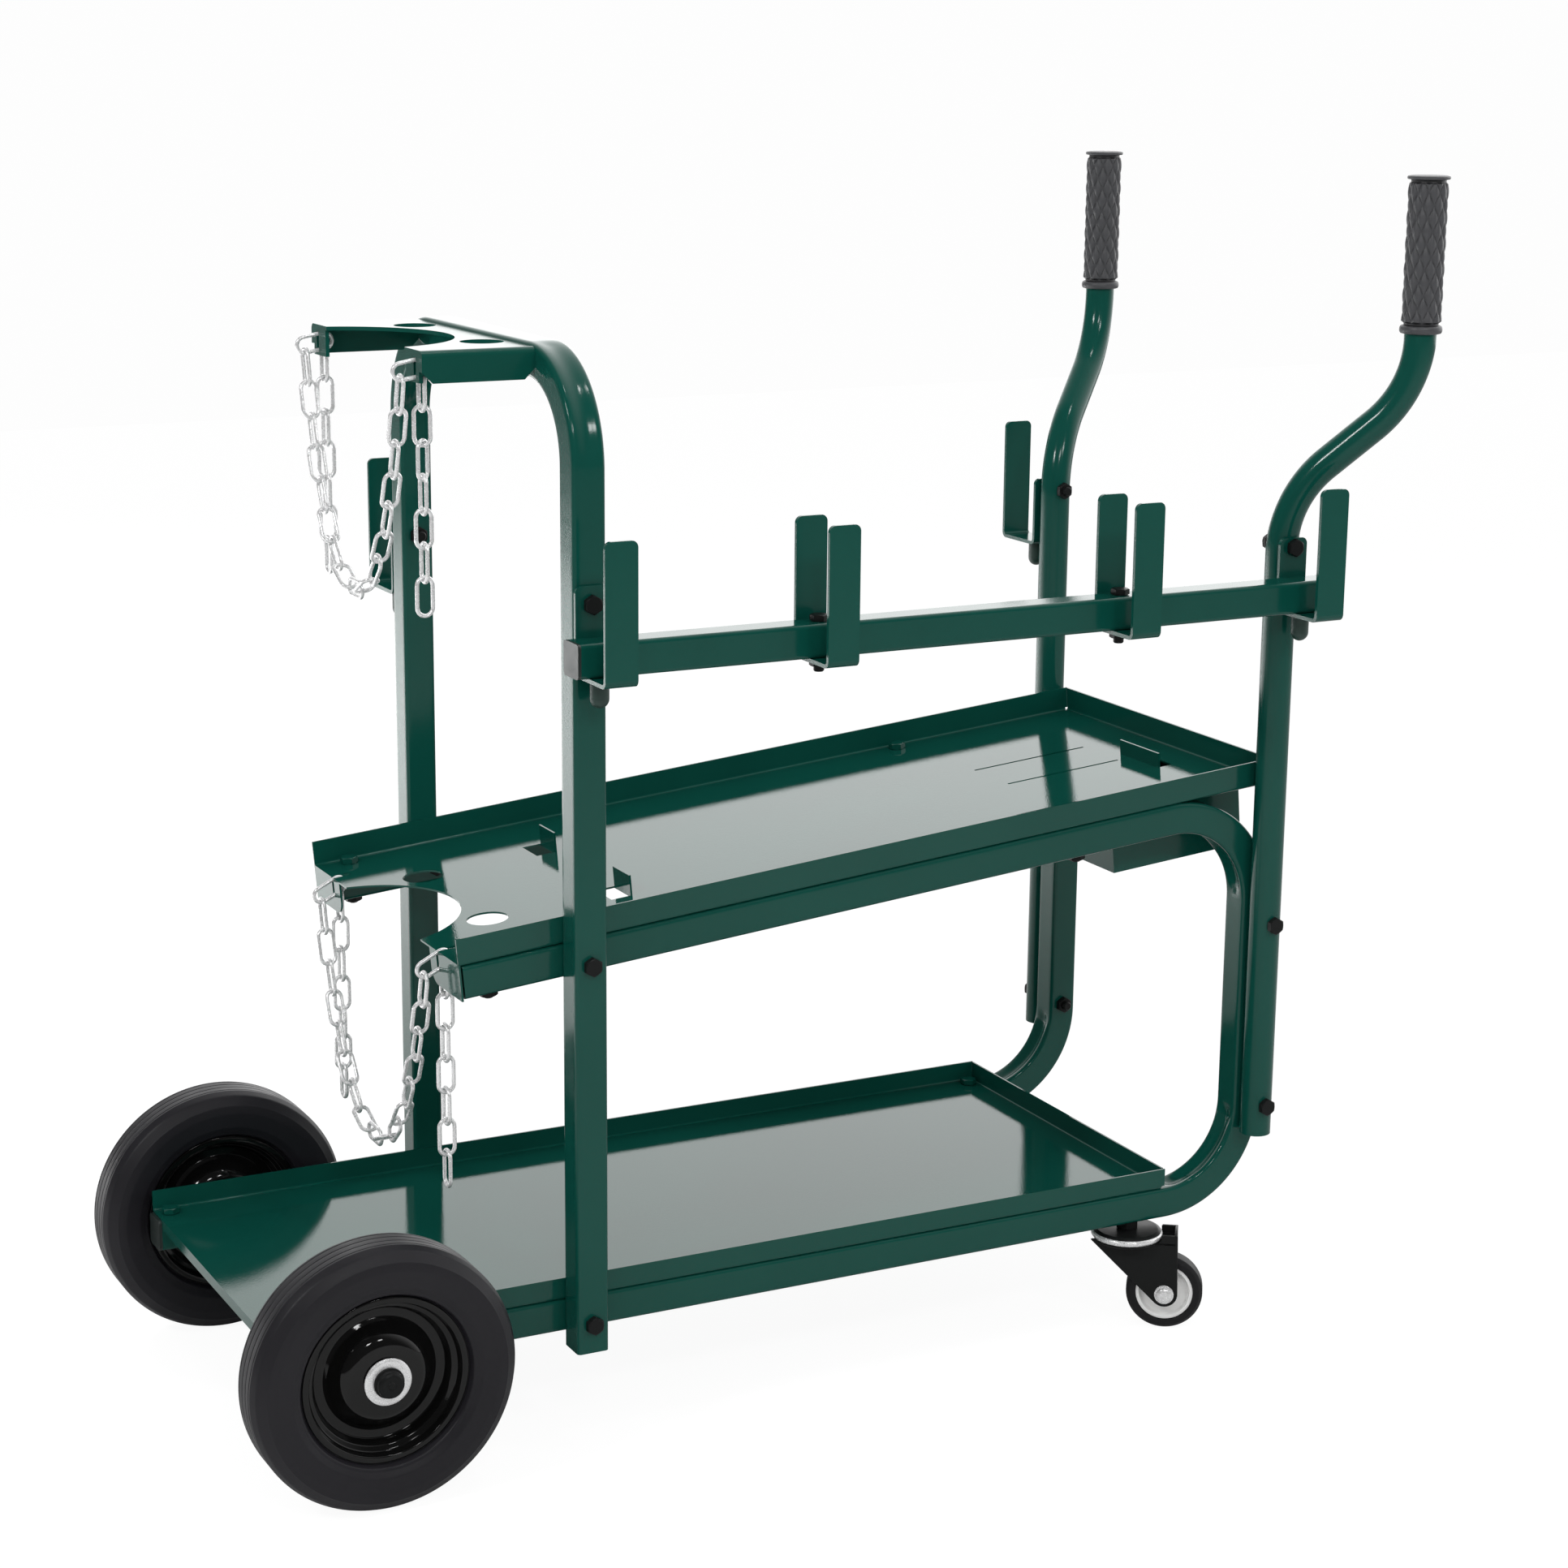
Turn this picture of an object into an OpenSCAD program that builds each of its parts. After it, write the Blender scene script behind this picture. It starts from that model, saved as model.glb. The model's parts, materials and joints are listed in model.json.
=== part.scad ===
// Welding cart: two bent square-tube side frames carry a level lower tray and a
// sloped upper tray, a hoop with saddles for a gas cylinder, two handles,
// cable hangers, two large wheels on an axle and two swivel casters.
// X runs along the cart from the large wheels to the handles, Z is up and the
// ground is at zero. Lengths are in millimetres.

/* [Overall] */
// Length over the large wheels and the grips
overall_length = 974.7; // [900:0.1:1050]
// Width over the two grips
overall_width = 489; // [440:0.5:540]
// Height of the grip tops above the ground
overall_height = 939.8; // [900:0.1:980]

/* [Square tube] */
// Side of the square tube
tube_side = 25.4; // [20:0.1:30]
// Wall of the square tube
tube_wall = 1.6; // [1:0.1:3]
// Outer corner radius of the square tube
tube_corner = 3; // [2:0.1:4]

/* [Side frames] */
// Width over the outer faces of the two side frames
frame_width = 312; // [280:1:340]
// Centre height of the lower rails
rail_height = 104.2; // [98:0.1:112]
// Reach of the lower rails past the axle
rail_reach = 65; // [40:1:80]
// Thickness of the tube end caps
end_cap = 2.5; // [1.5:0.1:4]
// Distance from the axle to the middle of the uprights
upright_reach = 778; // [740:1:800]
// Centreline radius of the side frame bends
frame_bend = 76.2; // [60:0.1:90]
// Centre height of the upper rails where the hoop crosses them
upper_rail_height = 383.3; // [360:0.1:400]
// Slope of the upper rails and the upper tray in degrees
tray_slope = 5.2; // [4:0.1:7]

/* [Hoop] */
// Distance from the axle to the middle of the hoop posts
hoop_reach = 172.6; // [150:0.1:200]
// Height of the open lower ends of the posts
post_foot = 81.5; // [70:0.5:88]
// Height of the top of the hoop
hoop_height = 828.5; // [780:0.5:860]
// Centreline radius of the hoop bends
hoop_bend = 70; // [55:1:90]

/* [Saddles] */
// Sheet thickness of the hoop saddle
saddle_sheet = 3; // [2:0.1:4]
// Width of the hoop saddle
saddle_width = 232; // [216:1:260]
// Distance from the axle to the front edge of the hoop saddle
saddle_front = 74; // [66:1:80]
// Depth of the turned-down flanges of the hoop saddle
saddle_flange = 23; // [20:0.5:32]
// Corner cut of the side flanges
flange_cut = 8; // [4:0.5:10]
// Drop of the saddle top below the hoop top
saddle_drop = 2.5; // [1:0.1:6]
// Radius of the cylinder recess
recess_radius = 84.5; // [76:0.5:88]
// Distance from the axle to the recess centre
recess_centre = 54; // [46:1:62]
// Radius of the round holes beside the recess
side_hole_radius = 16; // [10:0.5:17]
// Distance from the axle to the side hole centres
side_hole_reach = 139; // [137:0.5:141]
// Distance from the cart's middle plane to the side hole centres
side_hole_offset = 67; // [64:0.5:70]

/* [Upper tray] */
// Sheet thickness of the trays
tray_sheet = 1.5; // [1:0.1:2.5]
// Height of the upper tray rim with its floor
upper_rim = 21; // [16:0.5:30]
// Distance from the axle to the front edge of the upper tray
upper_tray_front = 80; // [74:1:90]
// Depth of the front flange of the upper tray
front_flange = 28; // [24:0.5:40]
// Inner edge of the front flange from the cart's middle plane
front_flange_inner = 98; // [94:0.5:101]
// Lower corner radius of the front flange
front_flange_round = 12; // [6:0.5:16]
// Width of each front lug that stops the machine
lug_width = 30; // [24:1:40]
// Height of each front lug
lug_height = 16; // [10:0.5:18]
// Distance from the cart's middle plane to the front lug centres
lug_offset = 72; // [66:1:80]
// Width of the rear lug
rear_lug_width = 58; // [40:1:70]
// Height of the rear lug
rear_lug_height = 12; // [8:0.5:14]
// Distance from the cart's middle plane to the rear lug's centre
rear_lug_offset = 31; // [26:1:40]
// Distance from the hoop centre to the front lugs along the tray
front_lug_reach = 76; // [70:1:120]
// Distance from the hoop centre to the rear lug along the tray
rear_lug_reach = 574; // [570:1:584]
// Length of the floor slots
slot_length = 108; // [60:1:120]
// Width of the floor slots
slot_width = 2.6; // [2.2:0.1:4]
// Distance from the hoop centre to the middle of the floor slots
slot_reach = 507; // [495:1:510]
// Spacing of the two floor slots
slot_spacing = 54; // [30:1:70]
// Sideways shift of the floor slots toward the far side
slot_shift = 9; // [0:1:20]

/* [Cable box] */
// Length of the box under the upper tray
box_length = 124; // [90:1:126]
// Width of the box
box_width = 236; // [180:1:256]
// Depth of the box below the tray floor
box_depth = 59; // [40:1:70]
// Distance from the hoop centre to the front of the box
box_reach = 489; // [486:1:491]

/* [Lower tray] */
// Height of the lower tray rim with its floor
lower_rim = 17.5; // [12:0.5:26]
// Distance from the axle to the far end of the lower tray
lower_tray_reach = 699; // [660:1:712]
// Inset of the tray screws from the ends of the lower tray
screw_inset = 11; // [10:0.5:14]
// Length of the tray screws
screw_length = 14; // [8:0.5:20]
// Depth of the turned-down front lip of the lower tray
front_lip = 7; // [4:0.5:12]

/* [Handles] */
// Outer diameter of the handle tubes
handle_diameter = 25.4; // [22:0.1:28]
// Wall of the handle tubes
handle_wall = 1.6; // [1:0.1:3]
// Height of the lower ends of the handle tubes
handle_foot = 159; // [140:1:180]
// Height where the handles start to bend
handle_bend_height = 646; // [630:1:650]
// Centreline radius of the handle bends
handle_bend = 94; // [84:1:100]
// Angle of each handle bend in degrees
handle_angle = 48.5; // [46:0.5:52]
// Length of each grip
grip_length = 120.5; // [110:0.5:124]
// Diameter of the grip's end rings
grip_ring_diameter = 33; // [31:0.5:38]
// Diameter of the grip between its rings
grip_diameter = 31; // [29:0.5:31]
// Height of each grip end ring
grip_ring = 5; // [3:0.5:9]
// Thickness of the closed grip top
grip_top = 4; // [2:0.5:6]

/* [Hook rail and hangers] */
// Height of the top of the hook rail
hook_rail_top = 627.5; // [610:0.5:640]
// Reach of the hook rail past the middle of the posts and of the handles
hook_rail_overhang = 19.5; // [17:0.5:30]
// Strap thickness of the hangers
hanger_sheet = 3; // [2:0.1:4]
// Width of the hanger strap
hanger_width = 25.4; // [20:0.2:30]
// Depth over a hanger's two legs
hanger_depth = 54; // [50:0.5:62]
// Height of a tall hanger leg
hanger_height = 104; // [90:1:115]
// Height of the short leg that is bolted on
hanger_short = 65; // [60:1:74]
// Height of the short leg that is bolted on a handle
handle_leg = 59; // [59:0.5:61]
// Inner bend radius of the hanger
hanger_bend = 2.5; // [1:0.1:2.7]
// Corner radius of the leg tops
hanger_corner = 5; // [3:0.5:8]
// Distance from the axle to the first hanger along the rail
first_hanger = 348; // [300:1:380]
// Distance from the axle to the second hanger along the rail
second_hanger = 608; // [560:1:640]
// Diameter of the peg under an end hanger
peg_diameter = 14; // [12:0.5:16]
// Length of the peg with its round end
peg_length = 21; // [15:0.5:26]
// Height of the hanger bolt above the strap's underside
hanger_bolt_height = 51.5; // [46:0.5:55]

/* [Large wheels] */
// Diameter of the large wheels
wheel_diameter = 203.2; // [190:0.2:210]
// Width of the tyre
tyre_width = 49; // [44:0.5:54]
// Shoulder radius of the tyre
tyre_shoulder = 13; // [8:0.5:16]
// Distance between the middles of the two tyres
wheel_track = 374.6; // [372:0.2:380]
// Radius of the tyre's seat on the rim
tyre_seat = 61; // [58:0.5:64]
// Width of the rim
rim_width = 30; // [26:0.5:36]
// Sheet of the rim
rim_sheet = 2; // [1.5:0.1:3]
// Radius of the pressed dome round the hub
dome_radius = 41; // [36:0.5:46]
// Radius of the hub tube
hub_radius = 13; // [11:0.5:16]
// Length of the hub tube
hub_length = 37; // [34:0.5:40]
// Diameter of the axle
axle_diameter = 15.9; // [12:0.1:18]
// Radial running clearance of wheels and swivels
running_clearance = 0.06; // [0.02:0.01:0.1]
// Radius of the axle washers
washer_radius = 18; // [15:0.5:20]
// Thickness of the axle washers
washer_sheet = 2; // [1:0.1:3]
// Side play of the wheels between their washers
side_play = 0.3; // [0.1:0.05:0.5]
// Radius of the axle caps
cap_radius = 11.5; // [10:0.5:13]
// Length of the axle caps
cap_length = 8; // [5:0.5:12]

/* [Casters] */
// Diameter of the caster wheels
caster_diameter = 63.5; // [58:0.1:70]
// Width of the caster wheels
caster_width = 20; // [16:0.5:24]
// Distance from the axle to the caster stems
caster_reach = 672; // [650:1:690]
// Trail from the stem to the caster axle
caster_trail = 32.5; // [26:0.5:38]
// Turn of the casters away from straight trailing in degrees
caster_turn = 35; // [0:1:60]
// Radius of the caster raceway ring
race_radius = 29.5; // [26:0.5:32]
// Height of the raceway ring
race_height = 7; // [5:0.5:9]
// Sheet of the caster yoke
yoke_sheet = 2.5; // [2:0.1:3.5]
// Clearance between the caster wheel and its yoke
yoke_gap = 1.2; // [0.6:0.1:2]
// Diameter of the caster stem
stem_diameter = 10; // [8:0.5:12]
// Diameter of the caster axle
caster_axle = 8; // [6:0.5:10]
// Radius of the bright ring on the caster wheel
caster_ring = 23.5; // [22:0.5:25]
// Radius of the caster hub
caster_hub = 9; // [7:0.5:11]
// Radius of the round end of each yoke leg
yoke_end = 11; // [9:0.5:13]
// Radius of the round yoke crown
yoke_crown = 27; // [24:0.5:28]
// Distance from the stem to the back of the yoke
yoke_back = 42; // [38:0.5:44]
// Height of the bent back plate of the yoke
back_plate = 22; // [16:0.5:24]
// Shoulder of the yoke leg's round end past its straight sides
leg_shoulder = 0.3; // [0.2:0.1:1]

/* [Bolts] */
// Diameter of the frame bolts
bolt_diameter = 8; // [6:0.5:10]
// Width across the corners of a bolt head
bolt_head = 14.5; // [12.5:0.5:16]
// Height of a bolt head
bolt_head_height = 5; // [4:0.5:7]
// Radial clearance of the bolt holes
hole_clearance = 0.25; // [0.1:0.05:0.5]
// Height of the lower handle bolts
low_handle_bolt = 185; // [180:1:230]
// Height of the upper handle bolts
high_handle_bolt = 340; // [290:1:344]

/* [Chains] */
// Wire diameter of the chain
chain_wire = 3; // [2.6:0.1:3.2]
// Outer length of a chain link
link_length = 31; // [30:0.5:33]
// Outer width of a chain link
link_width = 15; // [14.5:0.5:16]
// Play between two chain links
link_play = 0.5; // [0.4:0.05:0.7]
// Anchor of the hoop chain from the cart's middle plane
upper_anchor = 102; // [98:0.5:103]
// Anchor of the tray chain from the cart's middle plane
lower_anchor = 113; // [110:0.5:116]
// Dip of the captive links of the tray chain in degrees
hook_dip = 27; // [24:1:29]
// Dip of the captive links of the hoop chain in degrees
hoop_hook_dip = 10; // [6:1:12]
// Forward shift of a captive link in its slot
captive_shift = 4.3; // [3:0.1:4.5]
// Width of the slot that holds a captive link
chain_slot = 4.4; // [4:0.1:5]

/* [Hidden] */
$fn = 48;
// Overrun of every cut past the face it opens
over = tube_side / 5;
// Places derived from the tube and the frame
half_tube = tube_side / 2;
frame_half = frame_width / 2;
rail_y = frame_half - half_tube;
wheel_radius = wheel_diameter / 2;
middle_x = overall_length / 2 - wheel_radius;
bend_reach = upright_reach - frame_bend;
slope_cos = cos(tray_slope);
slope_tan = tan(tray_slope);
upper_bend_height = upper_rail_height + (bend_reach - hoop_reach) * slope_tan
  - frame_bend / slope_cos;
upper_bend_along = (bend_reach - frame_bend * sin(tray_slope) - hoop_reach) / slope_cos;
// Hoop and handles
post_y = frame_half + half_tube;
post_outer = frame_half + tube_side;
hoop_bend_y = post_y - hoop_bend;
hoop_bend_height = hoop_height - half_tube - hoop_bend;
handle_radius = handle_diameter / 2;
handle_y = frame_half + handle_radius;
grip_x = overall_length - wheel_radius - grip_ring_diameter / 2;
grip_y = overall_width / 2 - grip_ring_diameter / 2;
handle_azimuth = atan2(grip_y - handle_y, grip_x - upright_reach);
handle_offset = norm([grip_x - upright_reach, grip_y - handle_y]);
handle_rise = handle_bend * sin(handle_angle);
handle_run = handle_bend * (1 - cos(handle_angle));
handle_straight = (handle_offset - 2 * handle_run) / sin(handle_angle);
grip_foot = overall_height - grip_length;
second_bend_height = handle_bend_height + 2 * handle_rise
  + handle_straight * cos(handle_angle);
// Trays, measured along the slope from the hoop
tray_front_along = (upper_tray_front - hoop_reach) / slope_cos;
tray_back_along = (upright_reach + half_tube - hoop_reach) / slope_cos;
tray_top = half_tube + tray_sheet;
recess_along = (recess_centre - hoop_reach) / slope_cos;
side_hole_along = (side_hole_reach - hoop_reach) / slope_cos;
front_bolt_along = tray_front_along + tube_side;
rear_bolt_along = box_reach - tube_side * 2;
tray_bend = tray_sheet;
lower_floor = rail_height + half_tube;
// Hook rail and hangers
rail_line_y = post_outer + hanger_sheet + half_tube;
strap_bottom = hook_rail_top - tube_side - hanger_sheet;
hanger_bolt_z = strap_bottom + hanger_bolt_height;
// Bolts
bolt_radius = bolt_diameter / 2;
hole_radius = bolt_radius + hole_clearance;
hanger_bolt_grip = hanger_sheet + tube_side;
// Wheels
wheel_y = wheel_track / 2;
axle_radius = axle_diameter / 2;
hub_inner_y = wheel_y - hub_length / 2 - side_play;
hub_outer_y = wheel_y + hub_length / 2 + side_play;
// Casters
caster_radius = caster_diameter / 2;
stem_radius = stem_diameter / 2;
race_bottom = rail_height - half_tube - race_height - 2 * yoke_sheet - bolt_head_height / 2;
crown_top = race_bottom - side_play;
crown_bottom = crown_top - yoke_sheet;
yoke_inner = caster_width / 2 + yoke_gap;
yoke_outer = yoke_inner + yoke_sheet;
caster_axle_radius = caster_axle / 2;
// Chains
wire_radius = chain_wire / 2;
link_arc = (link_width - chain_wire) / 2;
link_straight = link_length - link_width;
link_pitch = link_length - 2 * chain_wire - link_play;
half_joint = (chain_wire + link_play) / 2;
loop_links = 17;
tail_links = 7;
upper_slot_x = saddle_front + saddle_sheet / 2;
upper_slot_z = hoop_height - saddle_drop - saddle_flange / 2 - saddle_sheet / 2;
lower_slot_along = tray_front_along + tray_sheet / 2;
lower_slot_x = hoop_reach + lower_slot_along * slope_cos
  - half_tube / 2 * sin(tray_slope);
lower_slot_z = upper_rail_height + lower_slot_along * sin(tray_slope)
  + half_tube / 2 * slope_cos;
chain_gap = link_play / 2;
// A link's top wire rests inside the front arc of a captive link
loop_drop = link_arc - chain_wire - chain_gap;
upper_loop_x = upper_slot_x - (captive_shift + link_straight / 2) * cos(hoop_hook_dip);
upper_loop_z = upper_slot_z - loop_drop
  - (captive_shift + link_straight / 2) * sin(hoop_hook_dip);
lower_loop_x = lower_slot_x - (captive_shift + link_straight / 2) * cos(hook_dip);
lower_loop_z = lower_slot_z - loop_drop
  - (captive_shift + link_straight / 2) * sin(hook_dip);
// The free ends hang on the lower wire of a captive link, behind its flange
upper_tail_x = saddle_front + saddle_sheet + wire_radius + side_play;
upper_tail_z = upper_slot_z - link_arc / cos(hoop_hook_dip)
  + (upper_tail_x - upper_slot_x) * tan(hoop_hook_dip)
  + (chain_wire + chain_gap) / cos(hoop_hook_dip);
lower_tail_x = upper_tray_front + tray_sheet + wire_radius + side_play
  + front_flange / 2 * sin(tray_slope);
lower_tail_z = lower_slot_z - link_arc / cos(hook_dip)
  + (lower_tail_x - lower_slot_x) * tan(hook_dip)
  + (chain_wire + chain_gap) / cos(hook_dip);
// Turns of the links of each free end about the vertical
plain_turns = [0, 90, 0, 90, 0, 90, 0];
crossed_turns = [0, 55, 125, 180, 90, 0, 90];

// Hanging curve: half the arc length over a half span for a given curve size
function half_arc(size, half_span) =
  size * (exp(half_span / size) - exp(-half_span / size)) / 2;
// Curve size that gives a wanted half arc, by halving the interval
function curve_size(half_span, wanted, low, high, steps) =
  steps == 0 ? (low + high) / 2 :
  half_arc((low + high) / 2, half_span) > wanted
    ? curve_size(half_span, wanted, (low + high) / 2, high, steps - 1)
    : curve_size(half_span, wanted, low, (low + high) / 2, steps - 1);
function curve_y(size, arc) = size * ln(arc / size + sqrt(arc * arc / size / size + 1));
function curve_z(size, arc) = sqrt(size * size + arc * arc) - size;
// Direction in degrees from a circle's centre to where a line from a point touches it
function touch_angle(from, centre, radius, side) =
  atan2(centre[1] - from[1], centre[0] - from[0])
  - side * (asin(radius / norm(centre - from)) + 90);

// Moves the axle origin to the middle of the overall length
module placed() {
  translate([-middle_x, 0, 0]) children();
}

// Frame of the sloped tray: origin on the rail's middle line at the hoop
module tilted() {
  placed() translate([hoop_reach, 0, upper_rail_height]) rotate([0, -tray_slope, 0])
    children();
}

// The piece drawn on both sides of the middle plane
module both_sides() {
  children();
  mirror([0, 1, 0]) children();
}

// Square with round corners
module round_square(side, corner) {
  square([side, side - 2 * corner], center = true);
  square([side - 2 * corner, side], center = true);
  for (turn = [0 : 90 : 270])
    rotate([0, 0, turn])
      translate([side / 2 - corner, side / 2 - corner])
        circle(r = corner);
}

// Section of the square tube
module tube_section() {
  difference() {
    round_square(tube_side, tube_corner);
    round_square(tube_side - 2 * tube_wall, tube_corner - tube_wall);
  }
}

// Square tube along X from a start point
module tube_x(start, length) {
  translate(start) rotate([0, 90, 0])
    linear_extrude(length)
      tube_section();
}

// Solid quarter corner that rounds off a plate when it is cut away
module corner_cut(corner, depth) {
  difference() {
    translate([-corner, -corner, 0]) cube([corner + over, corner + over, depth]);
    translate([-corner, -corner, -over]) cylinder(h = depth + 2 * over, r = corner);
  }
}

// Bent sheet section: a floor along X with a flange up at its right end
module half_channel(half_width, rise, sheet, bend) {
  square([half_width - sheet - bend, sheet]);
  translate([half_width - sheet, sheet + bend]) square([sheet, rise - sheet - bend]);
  translate([half_width - sheet - bend, sheet + bend])
    intersection() {
      difference() {
        circle(r = sheet + bend);
        circle(r = bend);
      }
      translate([0, -sheet - bend]) square([sheet + bend, sheet + bend]);
    }
}

// Channel section with a flange up at both ends
module channel(half_width, rise, sheet, bend) {
  half_channel(half_width, rise, sheet, bend);
  mirror([1, 0, 0]) half_channel(half_width, rise, sheet, bend);
}

// Section drawn in the YZ plane and run along X
module run_x(length) {
  rotate([90, 0, 90]) linear_extrude(length) children();
}

// Cylinder along Y between two distances from the middle plane
module rod_y(near, far, radius) {
  translate([0, far, 0]) rotate([90, 0, 0]) cylinder(h = far - near, r = radius);
}

// Hexagon head bolt: head below zero, shank up, nut at the grip length
module bolt(grip, tail) {
  translate([0, 0, -bolt_head_height])
    cylinder(h = bolt_head_height, r = bolt_head / 2, $fn = 6);
  cylinder(h = grip + bolt_head_height + tail, r = bolt_radius);
  translate([0, 0, grip])
    cylinder(h = bolt_head_height, r = bolt_head / 2, $fn = 6);
}

// Bolt along Y that enters from outside and ends toward the middle plane
module bolt_inward(reach, outer, height, grip) {
  translate([reach, outer, height]) rotate([90, 0, 0]) bolt(grip, bolt_radius);
}

// Side frame bent from one square tube
module side_frame() {
  color([0.11, 0.26, 0.22])
  placed() difference() {
    union() {
      tube_x([-rail_reach, rail_y, rail_height], bend_reach + rail_reach);
      translate([bend_reach, rail_y, rail_height + frame_bend])
        rotate([90, 0, 0]) rotate([0, 0, -90])
          rotate_extrude(angle = 90)
            translate([frame_bend, 0]) tube_section();
      translate([upright_reach, rail_y, rail_height + frame_bend])
        linear_extrude(upper_bend_height - rail_height - frame_bend) tube_section();
      translate([bend_reach, rail_y, upper_bend_height])
        rotate([90, 0, 0])
          rotate_extrude(angle = 90 + tray_slope)
            translate([frame_bend, 0]) tube_section();
      translate([hoop_reach, 0, upper_rail_height]) rotate([0, -tray_slope, 0])
        tube_x([tray_front_along + tray_sheet, rail_y, 0],
          upper_bend_along - tray_front_along - tray_sheet);
    }
    translate([0, 0, wheel_radius])
      rod_y(rail_y - half_tube - over, frame_half + over, axle_radius);
    for (height = [rail_height, upper_rail_height])
      translate([hoop_reach, 0, height])
        rod_y(rail_y - half_tube - over, frame_half + over, hole_radius);
    for (height = [low_handle_bolt, high_handle_bolt])
      translate([upright_reach, 0, height])
        rod_y(rail_y - half_tube - over, frame_half + over, hole_radius);
    translate([hoop_reach, 0, upper_rail_height]) rotate([0, -tray_slope, 0])
      for (along = [front_bolt_along, rear_bolt_along])
        translate([along, rail_y, -half_tube - over])
          cylinder(h = tube_side + 2 * over, r = hole_radius);
    for (reach = [-rail_reach + screw_inset, lower_tray_reach - screw_inset])
      translate([reach, rail_y, rail_height])
        cylinder(h = half_tube + over, r = hole_radius);
    translate([caster_reach, rail_y, rail_height - half_tube - over])
      cylinder(h = half_tube + over, r = stem_radius + hole_clearance);
  }
}

module far_side_frame() {
  side_frame();
}

module near_side_frame() {
  mirror([0, 1, 0]) side_frame();
}

// Cap with a plug that fits inside the tube, facing -X
module end_plug() {
  rotate([0, 90, 0]) translate([0, 0, -end_cap])
    linear_extrude(end_cap) round_square(tube_side, tube_corner);
  rotate([0, 90, 0])
    linear_extrude(2 * end_cap)
      round_square(tube_side - 2 * tube_wall, tube_corner - tube_wall);
}

module frame_end_caps() {
  color([0.09, 0.1, 0.1])
  placed() both_sides()
    translate([-rail_reach, rail_y, rail_height]) end_plug();
}

module hoop() {
  color([0.11, 0.26, 0.22])
  placed() difference() {
    translate([hoop_reach, 0, 0]) union() {
      both_sides() {
        translate([0, post_y, post_foot])
          linear_extrude(hoop_bend_height - post_foot) tube_section();
        translate([0, hoop_bend_y, hoop_bend_height])
          rotate([90, 0, 90])
            rotate_extrude(angle = 90)
              translate([hoop_bend, 0]) tube_section();
      }
      translate([0, -hoop_bend_y, hoop_height - half_tube])
        rotate([-90, 0, 0])
          linear_extrude(2 * hoop_bend_y) tube_section();
    }
    for (height = [rail_height, upper_rail_height, hanger_bolt_z])
      translate([hoop_reach, 0, height])
        rod_y(-post_outer - over, post_outer + over, hole_radius);
  }
}

// Saddle plate on the hoop: turned-down edges and a front edge with two prongs
module hoop_saddle() {
  top = hoop_height - saddle_drop;
  length = hoop_reach - half_tube - saddle_front;
  half_width = saddle_width / 2;
  slot_half = (link_arc + wire_radius) / cos(hoop_hook_dip)
    + saddle_sheet / 2 * tan(hoop_hook_dip);
  color([0.11, 0.26, 0.22])
  placed() translate([saddle_front, 0, top]) difference() {
    union() {
      run_x(length)
        mirror([0, 1, 0]) channel(half_width, saddle_flange, saddle_sheet, saddle_sheet / 2);
      both_sides()
        translate([0, recess_radius, -saddle_flange])
          cube([saddle_sheet, half_width - recess_radius - saddle_sheet / 2,
            saddle_flange - saddle_sheet / 2]);
    }
    translate([recess_centre - saddle_front, 0, -saddle_flange - over])
      cylinder(h = saddle_flange + 2 * over, r = recess_radius);
    both_sides() {
      translate([side_hole_reach - saddle_front, side_hole_offset, -saddle_sheet - over])
        cylinder(h = saddle_sheet + 2 * over, r = side_hole_radius);
      translate([-over, upper_anchor - chain_slot / 2, upper_slot_z - top - slot_half])
        cube([over + 2 * saddle_sheet, chain_slot, 2 * slot_half]);
      for (end = [0, length])
        translate([end, half_width - 2 * saddle_sheet, -saddle_flange])
          rotate([0, 45, 0])
            translate([-flange_cut / sqrt(2), 0, -flange_cut / sqrt(2)])
              cube([2 * flange_cut / sqrt(2), 2 * saddle_sheet + over,
                2 * flange_cut / sqrt(2)]);
    }
  }
}

// Bent end of a tray across its width, its outer face at the given distance
module tray_end(back, rise) {
  corner = 2 * (tray_sheet + tray_bend);
  span = frame_half - 2 * tray_sheet;
  translate([back - corner, span, 0]) rotate([90, 0, 0])
    linear_extrude(2 * span)
      half_channel(corner, rise, tray_sheet, tray_bend);
  both_sides()
    translate([back - corner, frame_half - tray_sheet, tray_sheet + tray_bend])
      cube([corner, tray_sheet, rise - tray_sheet - tray_bend]);
}

// Front lugs bent up from the tray floor behind their windows
module front_lugs() {
  both_sides() translate([front_lug_reach, lug_offset - lug_width / 2, 0])
    cube([tray_sheet, lug_width, tray_sheet + lug_height]);
}

module front_lug_windows() {
  both_sides()
    translate([front_lug_reach - lug_height, lug_offset - lug_width / 2, -over])
      cube([lug_height, lug_width, tray_sheet + 2 * over]);
}

// Rear lug on the near side, bent up in front of its window
module rear_lug() {
  translate([rear_lug_reach, -rear_lug_offset - rear_lug_width / 2, 0])
    cube([tray_sheet, rear_lug_width, tray_sheet + rear_lug_height]);
}

module rear_lug_window() {
  translate([rear_lug_reach + tray_sheet, -rear_lug_offset - rear_lug_width / 2, -over])
    cube([rear_lug_height, rear_lug_width, tray_sheet + 2 * over]);
}

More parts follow.
